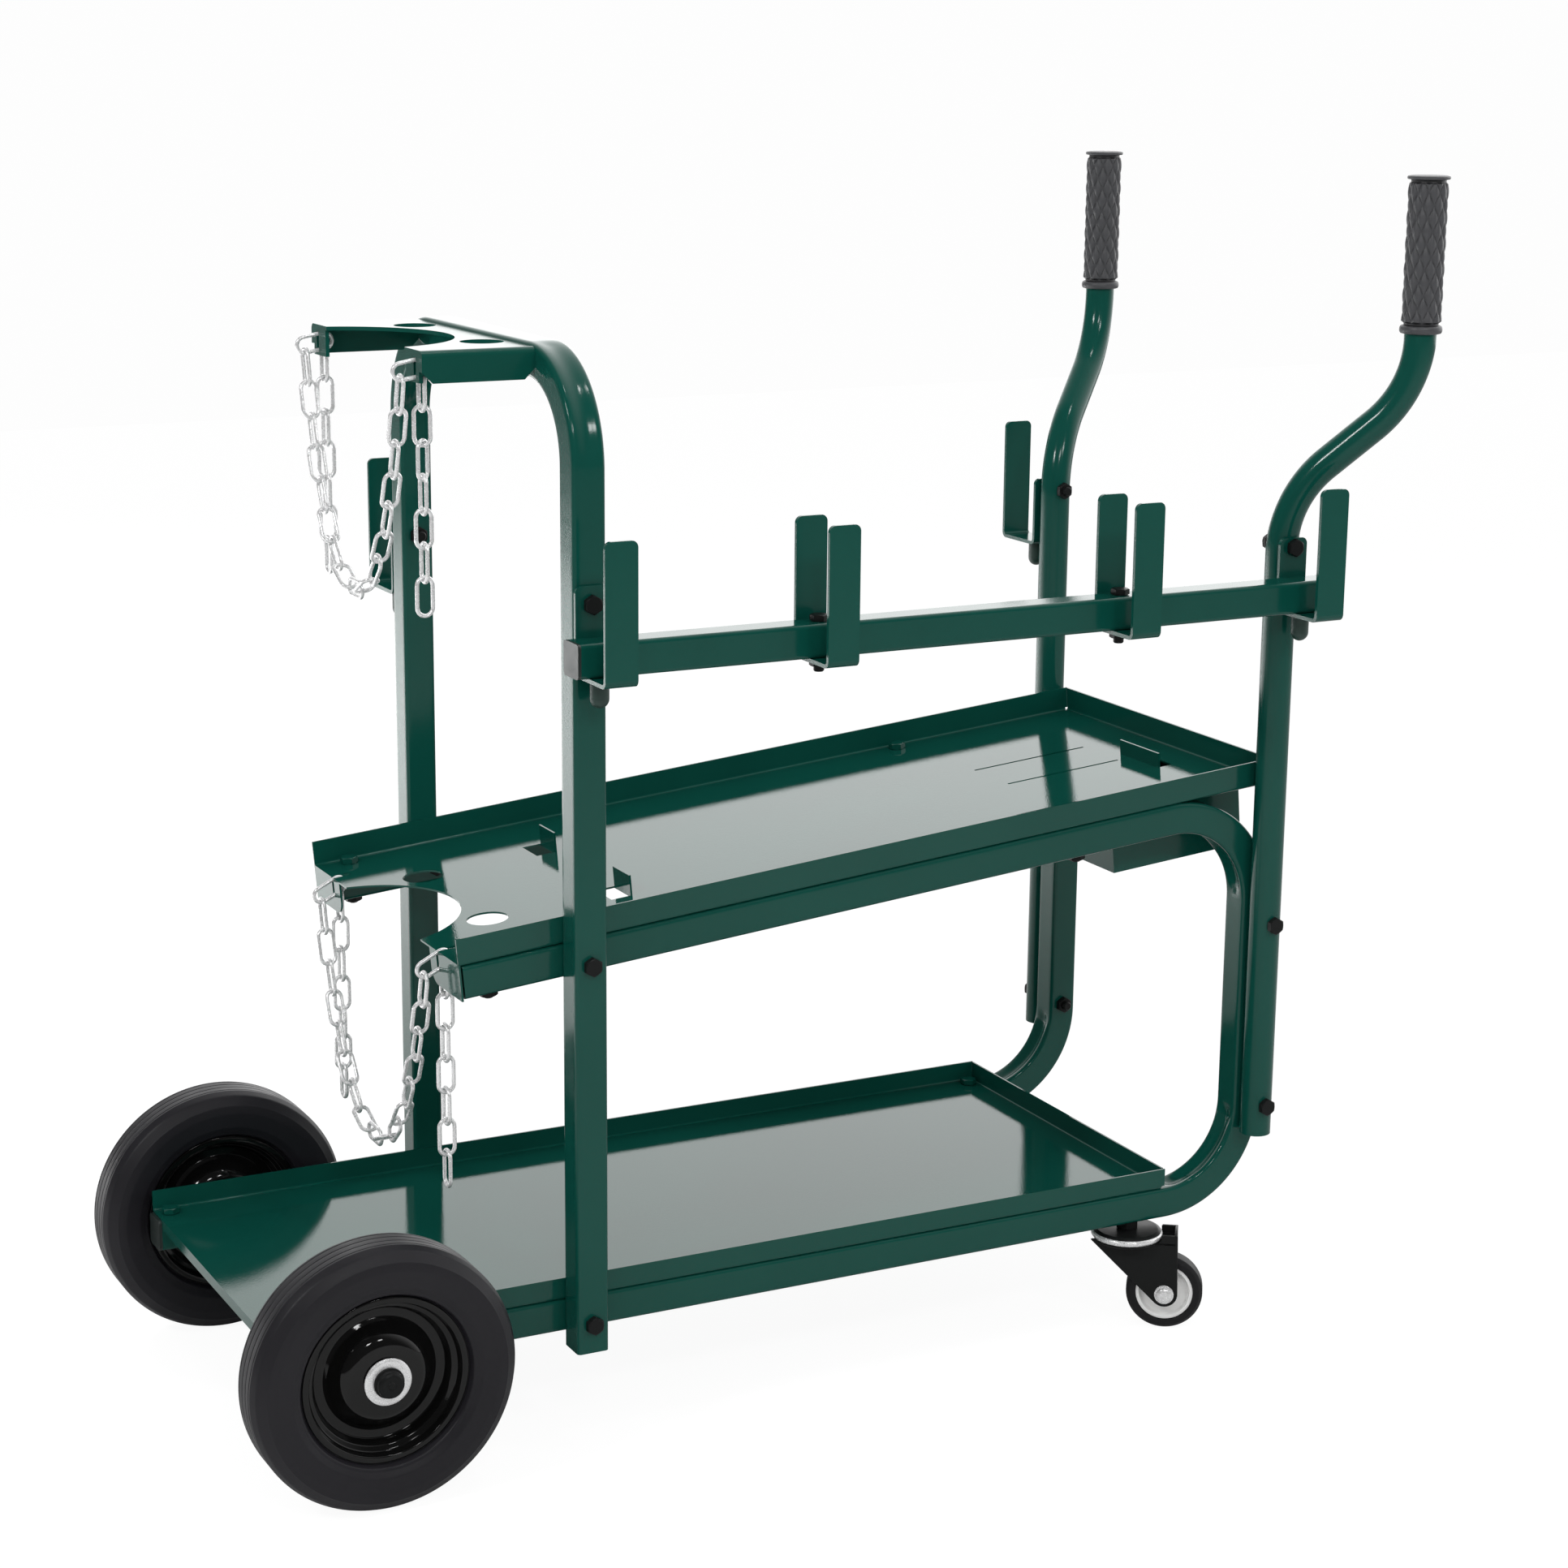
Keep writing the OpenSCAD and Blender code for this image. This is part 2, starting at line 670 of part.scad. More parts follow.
module lower_tray() {
  color([0.14, 0.3, 0.26])
  placed() translate([0, 0, lower_floor]) difference() {
    union() {
      translate([-rail_reach, 0, 0])
        run_x(lower_tray_reach + rail_reach - tray_sheet - tray_bend)
          channel(frame_half, lower_rim, tray_sheet, tray_bend);
      tray_end(lower_tray_reach, lower_rim);
      translate([-rail_reach, -frame_half + tube_side + tray_sheet, -front_lip])
        cube([tray_sheet, frame_width - 2 * tube_side - 2 * tray_sheet,
          front_lip + tray_sheet / 2]);
    }
    both_sides()
      for (reach = [-rail_reach + screw_inset, lower_tray_reach - screw_inset])
        translate([reach, rail_y, -over])
          cylinder(h = tray_sheet + 2 * over, r = hole_radius);
  }
}

module upper_tray() {
  slot_half = (link_arc + wire_radius) / cos(hook_dip - tray_slope)
    + tray_sheet / 2 * tan(hook_dip - tray_slope);
  color([0.14, 0.3, 0.26])
  tilted() translate([0, 0, half_tube]) difference() {
    union() {
      difference() {
        translate([tray_front_along, 0, 0])
          run_x(tray_back_along - tray_front_along - tray_sheet - tray_bend)
            channel(frame_half, upper_rim, tray_sheet, tray_bend);
        front_lug_windows();
        rear_lug_window();
      }
      tray_end(tray_back_along, upper_rim);
      front_lugs();
      rear_lug();
      both_sides() {
        difference() {
          translate([tray_front_along, front_flange_inner, tray_sheet - front_flange])
            cube([tray_sheet, frame_half - front_flange_inner, front_flange]);
          translate([tray_front_along + tray_sheet + over, front_flange_inner,
            tray_sheet - front_flange])
            rotate([0, -90, 0]) rotate([0, 0, 180])
              corner_cut(front_flange_round, tray_sheet + 2 * over);
        }
      }
    }
    translate([recess_along, 0, -over])
      cylinder(h = tray_sheet + 2 * over, r = recess_radius);
    both_sides() {
      translate([side_hole_along, side_hole_offset, -over])
        cylinder(h = tray_sheet + 2 * over, r = side_hole_radius);
      translate([tray_front_along - over, lower_anchor - chain_slot / 2,
        -half_tube / 2 - slot_half])
        cube([over + link_width, chain_slot, 2 * slot_half]);
      for (along = [front_bolt_along, rear_bolt_along])
        translate([along, rail_y, -over])
          cylinder(h = tray_sheet + 2 * over, r = hole_radius);
    }
    for (side = [-1, 1])
      translate([slot_reach - slot_length / 2,
        slot_shift + side * slot_spacing / 2 - slot_width / 2, -over])
        cube([slot_length, slot_width, tray_sheet + 2 * over]);
  }
}

// Open box that hangs under the tray floor
module cable_box() {
  color([0.12, 0.27, 0.24])
  tilted() translate([box_reach, -box_width / 2, half_tube - box_depth]) difference() {
    cube([box_length, box_width, box_depth]);
    translate([tray_sheet, tray_sheet, tray_sheet])
      cube([box_length - 2 * tray_sheet, box_width - 2 * tray_sheet, box_depth]);
  }
}

// Handle filled to a radius: straight foot, bend out, straight, bend back, straight top
module handle_run(radius) {
  translate([0, 0, handle_foot])
    cylinder(h = handle_bend_height - handle_foot, r = radius);
  translate([handle_bend, 0, handle_bend_height]) rotate([90, 0, 0])
    rotate([0, 0, 180 - handle_angle]) {
      rotate_extrude(angle = handle_angle)
        translate([handle_bend, 0]) circle(r = radius);
      translate([handle_bend, 0, 0]) rotate([90, 0, 0]) {
        cylinder(h = handle_straight, r = radius);
        translate([handle_bend, 0, handle_straight]) rotate([-90, 0, 0])
          rotate([0, 0, 180]) {
            rotate_extrude(angle = handle_angle)
              translate([handle_bend, 0]) circle(r = radius);
            rotate([0, 0, handle_angle]) translate([handle_bend, 0, 0])
              rotate([-90, 0, 0])
                cylinder(h = overall_height - grip_top - second_bend_height, r = radius);
          }
      }
    }
}

module handle() {
  color([0.11, 0.26, 0.22])
  placed() difference() {
    translate([upright_reach, handle_y, 0]) rotate([0, 0, handle_azimuth])
      difference() {
        handle_run(handle_radius);
        handle_run(handle_radius - handle_wall);
        translate([0, 0, handle_foot - over]) cylinder(h = 2 * over,
          r = handle_radius - handle_wall);
        translate([handle_offset, 0, overall_height - grip_top - over])
          cylinder(h = 2 * over, r = handle_radius - handle_wall);
      }
    for (height = [low_handle_bolt, high_handle_bolt, hanger_bolt_z])
      translate([upright_reach, 0, height])
        rod_y(frame_half - over, post_outer + over, hole_radius);
  }
}

module far_handle() {
  handle();
}

module near_handle() {
  mirror([0, 1, 0]) handle();
}

module grip() {
  color([0.2, 0.21, 0.21])
  placed() translate([grip_x, grip_y, grip_foot]) difference() {
    union() {
      cylinder(h = grip_length, r = grip_diameter / 2);
      for (base = [0, grip_length - grip_ring])
        translate([0, 0, base]) cylinder(h = grip_ring, r = grip_ring_diameter / 2);
    }
    translate([0, 0, -over])
      cylinder(h = grip_length - grip_top + over, r = handle_radius);
  }
}

module far_grip() {
  grip();
}

module near_grip() {
  mirror([0, 1, 0]) grip();
}

module hook_rail() {
  start = hoop_reach - hook_rail_overhang;
  length = upright_reach - hoop_reach + 2 * hook_rail_overhang;
  color([0.11, 0.26, 0.22])
  placed() difference() {
    tube_x([start, -rail_line_y, hook_rail_top - half_tube], length);
    for (reach = [first_hanger, second_hanger])
      translate([reach, -rail_line_y, hook_rail_top - tube_side - over])
        cylinder(h = tube_side + 2 * over, r = hole_radius);
  }
}

module hook_rail_caps() {
  color([0.09, 0.1, 0.1])
  placed() translate([0, -rail_line_y, hook_rail_top - half_tube]) {
    translate([hoop_reach - hook_rail_overhang, 0, 0]) end_plug();
    translate([upright_reach + hook_rail_overhang, 0, 0]) mirror([1, 0, 0]) end_plug();
  }
}

// Hanger strap bent into a U, its back leg against a wall at zero
module hanger(back_height, hole_height) {
  elbow = hanger_sheet + hanger_bend;
  translate([-hanger_width / 2, 0, 0]) difference() {
    run_x(hanger_width) {
      translate([elbow, 0]) square([hanger_depth - 2 * elbow, hanger_sheet]);
      translate([0, elbow]) square([hanger_sheet, back_height - elbow]);
      translate([hanger_depth - hanger_sheet, elbow])
        square([hanger_sheet, hanger_height - elbow]);
      for (side = [0, 1])
        translate([side * hanger_depth, 0]) mirror([side, 0]) translate([elbow, elbow])
          intersection() {
            difference() {
              circle(r = elbow);
              circle(r = hanger_bend);
            }
            translate([-elbow, -elbow]) square([elbow, elbow]);
          }
    }
    for (edge = [0, 1])
      translate([edge * hanger_width, 0, 0]) mirror([edge, 0, 0]) {
        translate([0, hanger_sheet + over, back_height])
          rotate([90, 0, 0]) mirror([1, 0, 0])
            corner_cut(hanger_corner, hanger_sheet + 2 * over);
        translate([0, hanger_depth + over, hanger_height])
          rotate([90, 0, 0]) mirror([1, 0, 0])
            corner_cut(hanger_corner, hanger_sheet + 2 * over);
      }
    translate([hanger_width / 2, hanger_sheet + half_tube, -over])
      cylinder(h = hanger_sheet + 2 * over, r = hole_radius);
    translate([hanger_width / 2, hanger_sheet + over, hole_height])
      rotate([90, 0, 0]) cylinder(h = hanger_sheet + 2 * over, r = hole_radius);
  }
}

module hanger_on_wall(reach, leg) {
  color([0.13, 0.29, 0.25])
  placed() translate([reach, post_outer, strap_bottom])
    hanger(leg, hanger_bolt_height);
}

module hanger_on_rail(reach) {
  color([0.13, 0.29, 0.25])
  placed() mirror([0, 1, 0]) translate([reach, post_outer, strap_bottom])
    hanger(hanger_height, hanger_height + over + bolt_head);
}

module near_front_hanger() {
  mirror([0, 1, 0]) hanger_on_wall(hoop_reach, hanger_short);
}

module near_rear_hanger() {
  mirror([0, 1, 0]) hanger_on_wall(upright_reach, handle_leg);
}

module far_front_hanger() {
  hanger_on_wall(hoop_reach, hanger_short);
}

module far_rear_hanger() {
  hanger_on_wall(upright_reach, handle_leg);
}

module first_rail_hanger() {
  hanger_on_rail(first_hanger);
}

module second_rail_hanger() {
  hanger_on_rail(second_hanger);
}

module hanger_pegs() {
  color([0.2, 0.33, 0.28])
  placed() both_sides()
    for (reach = [hoop_reach, upright_reach])
      translate([reach, rail_line_y, strap_bottom]) {
        cylinder(h = hanger_sheet, r = bolt_radius);
        translate([0, 0, -peg_length + peg_diameter / 2])
          cylinder(h = peg_length - peg_diameter / 2, r = peg_diameter / 2);
        translate([0, 0, -peg_length + peg_diameter / 2])
          intersection() {
            sphere(r = peg_diameter / 2);
            translate([-peg_diameter, -peg_diameter, -peg_diameter])
              cube([2 * peg_diameter, 2 * peg_diameter, peg_diameter]);
          }
      }
}

module axle() {
  half = hub_outer_y + washer_sheet + cap_length / 2;
  color([0.6, 0.61, 0.6])
  placed() translate([0, 0, wheel_radius]) rod_y(-half, half, axle_radius);
}

module axle_ring(near, far, radius) {
  placed() translate([0, 0, wheel_radius]) both_sides() difference() {
    rod_y(near, far, radius);
    rod_y(near - over, far + over, axle_radius);
  }
}

module axle_spacers() {
  color([0.3, 0.31, 0.31])
    axle_ring(frame_half, hub_inner_y - washer_sheet, hub_radius);
}

module axle_washers() {
  color([0.7, 0.71, 0.7]) {
    axle_ring(hub_inner_y - washer_sheet, hub_inner_y, washer_radius);
    axle_ring(hub_outer_y, hub_outer_y + washer_sheet, washer_radius);
  }
}

module axle_caps() {
  start = hub_outer_y + washer_sheet;
  color([0.12, 0.13, 0.13])
  placed() translate([0, 0, wheel_radius]) both_sides() difference() {
    union() {
      rod_y(start, start + cap_length - washer_sheet, cap_radius);
      translate([0, start + cap_length - washer_sheet, 0]) rotate([-90, 0, 0])
        cylinder(h = washer_sheet, r1 = cap_radius, r2 = cap_radius - washer_sheet);
    }
    rod_y(start - over, start + cap_length / 2, axle_radius);
  }
}

// Tyre section in the half plane: radius to the right, width up
module tyre_section() {
  flat = tyre_width / 2 - tyre_shoulder;
  crown = wheel_radius - tyre_shoulder;
  bead = tyre_seat + 2 * rim_sheet;
  polygon([[tyre_seat, -rim_width / 2], [bead, -rim_width / 2],
    [bead + tyre_shoulder / 2, -tyre_width / 2], [crown, -tyre_width / 2],
    [crown, tyre_width / 2], [bead + tyre_shoulder / 2, tyre_width / 2],
    [bead, rim_width / 2], [tyre_seat, rim_width / 2]]);
  translate([crown - tyre_shoulder, -flat])
    square([2 * tyre_shoulder, 2 * flat]);
  for (side = [-1, 1])
    translate([crown, side * flat]) circle(r = tyre_shoulder);
}

module wheel_at(side) {
  placed() translate([0, side * wheel_y, wheel_radius]) rotate([90, 0, 0]) children();
}

module tyre(side) {
  color([0.17, 0.17, 0.18])
    wheel_at(side) rotate_extrude() tyre_section();
}

// Rim section: bed with two lips, middle plate, pressed bells and hub
module rim_section() {
  bore = axle_radius + running_clearance;
  half = hub_length / 2;
  bed = tyre_seat - rim_sheet;
  lip = tyre_seat + 1.5 * rim_sheet;
  shoulder = half - rim_sheet / 2;
  upper = [[bore, half], [hub_radius, half], [hub_radius, shoulder],
    [hub_radius + 2 * rim_sheet, shoulder],
    [dome_radius - 2 * rim_sheet, shoulder - 2 * rim_sheet],
    [dome_radius + rim_sheet, rim_sheet / 2],
    [bed, rim_sheet / 2], [bed, rim_width / 2 + rim_sheet],
    [lip, rim_width / 2 + rim_sheet], [lip, rim_width / 2], [tyre_seat, rim_width / 2]];
  count = len(upper);
  difference() {
    polygon(concat(upper,
      [for (i = [1 : count]) [upper[count - i][0], -upper[count - i][1]]]));
    polygon([[hub_radius, shoulder - 1.5 * rim_sheet],
      [dome_radius - 3 * rim_sheet, shoulder - 3 * rim_sheet],
      [dome_radius - rim_sheet, 0],
      [dome_radius - 3 * rim_sheet, 3 * rim_sheet - shoulder],
      [hub_radius, 1.5 * rim_sheet - shoulder]]);
  }
}

module rim(side) {
  color([0.05, 0.06, 0.06])
    wheel_at(side) rotate_extrude() rim_section();
}

module near_tyre() {
  tyre(-1);
}

module far_tyre() {
  tyre(1);
}

module near_rim() {
  rim(-1);
}

module far_rim() {
  rim(1);
}

// Raceway ring under each lower rail
module caster_raceways() {
  color([0.68, 0.69, 0.68])
  placed() both_sides() translate([caster_reach, rail_y, race_bottom]) difference() {
    cylinder(h = race_height, r = race_radius);
    translate([0, 0, -over])
      cylinder(h = race_height + 2 * over, r = race_radius - yoke_sheet);
  }
}

// Fixed stem: dish that holds the ring, spacer nut, shank with its nut in the rail
module caster_stems() {
  dish = race_bottom + race_height - yoke_sheet;
  rail_bottom = rail_height - half_tube;
  color([0.1, 0.12, 0.12])
  placed() both_sides() translate([caster_reach, rail_y, 0]) {
    translate([0, 0, crown_bottom - yoke_sheet])
      cylinder(h = rail_bottom + tube_wall + bolt_head_height + yoke_sheet
        - crown_bottom + yoke_sheet, r = stem_radius);
    translate([0, 0, crown_bottom - side_play - yoke_sheet])
      cylinder(h = yoke_sheet, r = stem_radius + yoke_sheet);
    translate([0, 0, dish]) cylinder(h = yoke_sheet, r = race_radius - yoke_sheet);
    translate([0, 0, crown_top + side_play])
      cylinder(h = dish - crown_top - side_play, r = stem_radius + yoke_sheet);
    translate([0, 0, dish + yoke_sheet])
      cylinder(h = rail_bottom - dish - yoke_sheet, r = bolt_head / 2 + yoke_sheet,
        $fn = 6);
    translate([0, 0, rail_bottom + tube_wall])
      cylinder(h = bolt_head_height, r = bolt_head / 2, $fn = 6);
  }
}

// Frame of a caster: origin under its stem, X along the trail
module caster_at(side) {
  placed() translate([caster_reach, side * rail_y, 0])
    rotate([0, 0, side * caster_turn]) children();
}

module yoke_leg() {
  side_radius = yoke_end - leg_shoulder;
  left = touch_angle([-race_radius, crown_top], [caster_trail, caster_radius],
    side_radius, 1);
  right = touch_angle([yoke_back, crown_top], [caster_trail, caster_radius],
    side_radius, -1);
  polygon([[-race_radius, crown_top],
    [caster_trail + side_radius * cos(left), caster_radius + side_radius * sin(left)],
    [caster_trail, caster_radius],
    [caster_trail + side_radius * cos(right), caster_radius + side_radius * sin(right)],
    [yoke_back, crown_top]]);
  translate([caster_trail, caster_radius]) circle(r = yoke_end);
}

module yoke(side) {
  color([0.1, 0.14, 0.13])
  caster_at(side) difference() {
    union() {
      translate([0, 0, crown_bottom]) cylinder(h = yoke_sheet, r = yoke_crown);
      translate([0, -yoke_outer, crown_bottom])
        cube([yoke_back, 2 * yoke_outer, yoke_sheet]);
      translate([yoke_back - yoke_sheet, -yoke_outer, crown_top - back_plate / 2])
        cube([yoke_sheet, 2 * yoke_outer, back_plate]);
      both_sides()
        translate([0, yoke_outer, 0]) rotate([90, 0, 0])
          linear_extrude(yoke_sheet) yoke_leg();
    }
    translate([0, 0, crown_bottom - over])
      cylinder(h = yoke_sheet + 2 * over, r = stem_radius + running_clearance);
    translate([caster_trail, 0, caster_radius])
      rod_y(-yoke_outer - over, yoke_outer + over, caster_axle_radius);
  }
}

module caster_bolt(side) {
  color([0.66, 0.67, 0.66])
  caster_at(side) translate([caster_trail, 0, caster_radius]) {
    rod_y(-yoke_outer, yoke_outer, caster_axle_radius);
    both_sides() {
      rod_y(yoke_outer, yoke_outer + 2 * yoke_sheet, 2 * caster_axle_radius);
      rod_y(yoke_outer + 2 * yoke_sheet, yoke_outer + bolt_head_height + yoke_sheet / 2,
        caster_axle_radius);
    }
  }
}

// Tread with round shoulders
module caster_tread(side) {
  round = yoke_sheet;
  color([0.18, 0.18, 0.19])
  caster_at(side) translate([caster_trail, 0, caster_radius]) rotate([90, 0, 0])
    rotate_extrude() {
      translate([caster_ring, -caster_width / 2])
        square([caster_radius - caster_ring - round, caster_width]);
      translate([caster_ring, -caster_width / 2 + round])
        square([caster_radius - caster_ring, caster_width - 2 * round]);
      for (end = [-1, 1])
        translate([caster_radius - round, end * (caster_width / 2 - round)])
          circle(r = round);
    }
}

module caster_core(side) {
  bore = caster_axle_radius + running_clearance;
  hub_half = yoke_inner - side_play;
  color([0.75, 0.75, 0.74])
  caster_at(side) translate([caster_trail, 0, caster_radius]) rotate([90, 0, 0])
    rotate_extrude() {
      translate([bore, -hub_half]) square([caster_hub - bore, 2 * hub_half]);
      translate([caster_hub, -yoke_sheet])
        square([caster_ring - caster_hub, 2 * yoke_sheet]);
      translate([caster_ring - 2 * yoke_sheet, -caster_width / 2 + yoke_sheet / 2])
        square([2 * yoke_sheet, caster_width - yoke_sheet]);
    }
}

module near_yoke() {
  yoke(-1);
}

module far_yoke() {
  yoke(1);
}

module near_caster_bolt() {
  caster_bolt(-1);
}

module far_caster_bolt() {
  caster_bolt(1);
}

module near_caster_tread() {
  caster_tread(-1);
}

module far_caster_tread() {
  caster_tread(1);
}

module near_caster_core() {
  caster_core(-1);
}

module far_caster_core() {
  caster_core(1);
}

module hoop_bolts() {
  color([0.07, 0.07, 0.07])
  placed() both_sides()
    for (height = [rail_height, upper_rail_height])
      bolt_inward(hoop_reach, post_outer, height, 2 * tube_side);
}

module handle_bolts() {
  color([0.07, 0.07, 0.07])
  placed() both_sides()
    for (height = [low_handle_bolt, high_handle_bolt])
      bolt_inward(upright_reach, post_outer, height, tube_side + handle_diameter);
}

module hanger_bolts() {
  color([0.07, 0.07, 0.07])
  placed() both_sides()
    for (reach = [hoop_reach, upright_reach])
      bolt_inward(reach, post_outer + hanger_sheet, hanger_bolt_z, hanger_bolt_grip);
}

module hook_rail_bolts() {
  color([0.07, 0.07, 0.07])
  placed()
    for (reach = [first_hanger, second_hanger])
      translate([reach, -rail_line_y, hook_rail_top]) mirror([0, 0, 1])
        bolt(hanger_bolt_grip, bolt_radius);
}

module upper_tray_bolts() {
  color([0.07, 0.07, 0.07])
  tilted() both_sides()
    for (along = [front_bolt_along, rear_bolt_along])
      translate([along, rail_y, tray_top]) mirror([0, 0, 1])
        bolt(tube_side + tray_sheet, wire_radius);
}

module lower_tray_screws() {
  color([0.07, 0.07, 0.07])
  placed() both_sides()
    for (reach = [-rail_reach + screw_inset, lower_tray_reach - screw_inset])
      translate([reach, rail_y, lower_floor + tray_sheet]) {
        cylinder(h = bolt_head_height, r = bolt_head / 2, $fn = 6);
        translate([0, 0, -screw_length]) cylinder(h = screw_length, r = bolt_radius);
      }
}

// Chain link around its centre, long along Z, in the YZ plane
module link() {
  for (end = [0, 1])
    mirror([0, 0, end]) translate([0, 0, link_straight / 2]) rotate([90, 0, 90])
      rotate_extrude(angle = 180)
        translate([link_arc, 0]) circle(r = wire_radius);
  for (side = [-1, 1])
    translate([0, side * link_arc, -link_straight / 2])
      cylinder(h = link_straight, r = wire_radius);
}

// Link through a slot, in the XZ plane, its front end dipping toward -X
module captive_link(x, z, dip) {
  translate([x, 0, z]) rotate([0, -dip, 0]) translate([-captive_shift, 0, 0])
    rotate([0, 90, 0]) rotate([0, 0, 90]) link();
}

module captive_links() {
  color([0.72, 0.72, 0.7])
  placed() both_sides() {
    translate([0, upper_anchor, 0])
      captive_link(upper_slot_x, upper_slot_z, hoop_hook_dip);
    translate([0, lower_anchor, 0])
      captive_link(lower_slot_x, lower_slot_z, hook_dip);
  }
}

// Loop of links on a hanging curve between two equal heights
module chain_loop(x, half_span, height) {
  arc = loop_links * link_pitch / 2;
  size = curve_size(half_span, arc, half_span / 10, half_span * 10, 40);
  top = height - half_joint - curve_z(size, arc);
  color([0.72, 0.72, 0.7])
  placed() for (i = [0 : loop_links - 1]) {
    y1 = curve_y(size, i * link_pitch - arc);
    z1 = curve_z(size, i * link_pitch - arc);
    y2 = curve_y(size, (i + 1) * link_pitch - arc);
    z2 = curve_z(size, (i + 1) * link_pitch - arc);
    translate([x, (y1 + y2) / 2, top + (z1 + z2) / 2])
      rotate([atan2(z2 - z1, y2 - y1) - 90, 0, 0])
        rotate([0, 0, (i % 2) * 90]) link();
  }
}

// Free end of a chain hanging straight down from its first link's top wire
module chain_end(x, y, height, turns) {
  color([0.72, 0.72, 0.7])
  placed() for (i = [0 : tail_links - 1])
    translate([x, y, height + wire_radius - link_length / 2 - i * link_pitch])
      rotate([0, 0, turns[i]]) link();
}

module hoop_chain() {
  chain_loop(upper_loop_x, upper_anchor, upper_loop_z);
}

module hoop_chain_near_end() {
  chain_end(upper_tail_x, -upper_anchor, upper_tail_z, crossed_turns);
}

module hoop_chain_far_end() {
  chain_end(upper_tail_x, upper_anchor, upper_tail_z, plain_turns);
}

module tray_chain() {
  chain_loop(lower_loop_x, lower_anchor, lower_loop_z);
}

module tray_chain_near_end() {
  chain_end(lower_tail_x, -lower_anchor, lower_tail_z, plain_turns);
}

module tray_chain_far_end() {
  chain_end(lower_tail_x, lower_anchor, lower_tail_z, plain_turns);
}

near_side_frame();
far_side_frame();
frame_end_caps();
hoop();
hoop_saddle();
lower_tray();
upper_tray();
cable_box();
near_handle();
far_handle();
near_grip();
far_grip();
hook_rail();
hook_rail_caps();
near_front_hanger();
near_rear_hanger();
first_rail_hanger();
second_rail_hanger();
far_front_hanger();
far_rear_hanger();
hanger_pegs();
axle();
axle_spacers();
axle_washers();
axle_caps();
near_tyre();
near_rim();
far_tyre();
far_rim();
caster_raceways();
caster_stems();
near_yoke();
near_caster_bolt();
near_caster_tread();
near_caster_core();
far_yoke();
far_caster_bolt();
far_caster_tread();
far_caster_core();
hoop_bolts();
handle_bolts();
hanger_bolts();
hook_rail_bolts();
upper_tray_bolts();
lower_tray_screws();
captive_links();
hoop_chain();
hoop_chain_near_end();
hoop_chain_far_end();
tray_chain();
tray_chain_near_end();
tray_chain_far_end();
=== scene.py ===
# %% [markdown]
# # Welding cart
# The cart carries a welding machine on its lower tray, a smaller one on the sloped upper
# tray, and a gas cylinder that leans into the saddle between two chains. Its shape comes
# from a CAD model. This script loads that model as a fixed frame and dresses it: a CAD
# part whose form is already right gets a finish, and a part that shows wrinkles, tread,
# knurls or rolled edges is made again here as a surface, in the same place.

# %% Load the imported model
import json
import math

import bmesh
import bpy
import numpy as np
from mathutils import Matrix, Vector


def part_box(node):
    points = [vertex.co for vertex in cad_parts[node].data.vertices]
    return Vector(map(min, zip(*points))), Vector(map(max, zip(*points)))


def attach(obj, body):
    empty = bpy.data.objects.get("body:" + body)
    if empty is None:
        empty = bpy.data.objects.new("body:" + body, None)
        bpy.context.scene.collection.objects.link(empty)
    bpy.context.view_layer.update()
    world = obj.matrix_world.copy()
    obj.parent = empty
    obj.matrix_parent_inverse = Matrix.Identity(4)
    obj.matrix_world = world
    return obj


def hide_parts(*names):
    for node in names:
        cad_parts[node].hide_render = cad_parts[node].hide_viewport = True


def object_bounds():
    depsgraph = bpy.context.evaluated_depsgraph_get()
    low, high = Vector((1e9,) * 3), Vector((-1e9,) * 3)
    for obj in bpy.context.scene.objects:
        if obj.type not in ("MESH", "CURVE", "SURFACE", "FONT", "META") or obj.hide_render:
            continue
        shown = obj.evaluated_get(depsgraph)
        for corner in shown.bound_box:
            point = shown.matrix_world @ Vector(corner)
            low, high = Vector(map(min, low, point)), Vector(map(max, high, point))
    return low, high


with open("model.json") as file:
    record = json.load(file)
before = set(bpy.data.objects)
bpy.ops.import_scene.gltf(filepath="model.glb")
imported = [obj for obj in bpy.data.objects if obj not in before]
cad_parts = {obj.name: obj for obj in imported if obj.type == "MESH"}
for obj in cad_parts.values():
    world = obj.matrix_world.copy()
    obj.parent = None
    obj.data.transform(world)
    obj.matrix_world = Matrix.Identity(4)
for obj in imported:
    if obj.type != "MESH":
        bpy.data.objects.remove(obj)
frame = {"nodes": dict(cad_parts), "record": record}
cad_low, cad_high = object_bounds()
print("cart", [round(high - low, 4) for low, high in zip(cad_low, cad_high)], "m")

# %% [markdown]
# A photograph of a product is easier to match when the camera is set first. Its place,
# its turn and its long lens were found by fitting known sizes of the cart, such as the
# wheel and the overall length, to where they stand in the picture. The camera could be
# aimed with a Track To constraint, but a matrix made from yaw, pitch and roll says
# exactly what was found and needs no target.

# %% Camera
PHOTO_PIXELS = 1932
camera_place = (-1.12355, -2.2315, 1.0568)
yaw, pitch, roll = (math.radians(angle) for angle in (26.84, 13.73, 0.40))
focal_pixels = 3960.8
optical_centre = (922.9, 984.3)

forward = np.array([math.sin(yaw) * math.cos(pitch), math.cos(yaw) * math.cos(pitch),
                    -math.sin(pitch)])
level_right = np.array([math.cos(yaw), -math.sin(yaw), 0.0])
level_up = np.cross(level_right, forward)
right = math.cos(roll) * level_right + math.sin(roll) * level_up
up = math.cos(roll) * level_up - math.sin(roll) * level_right

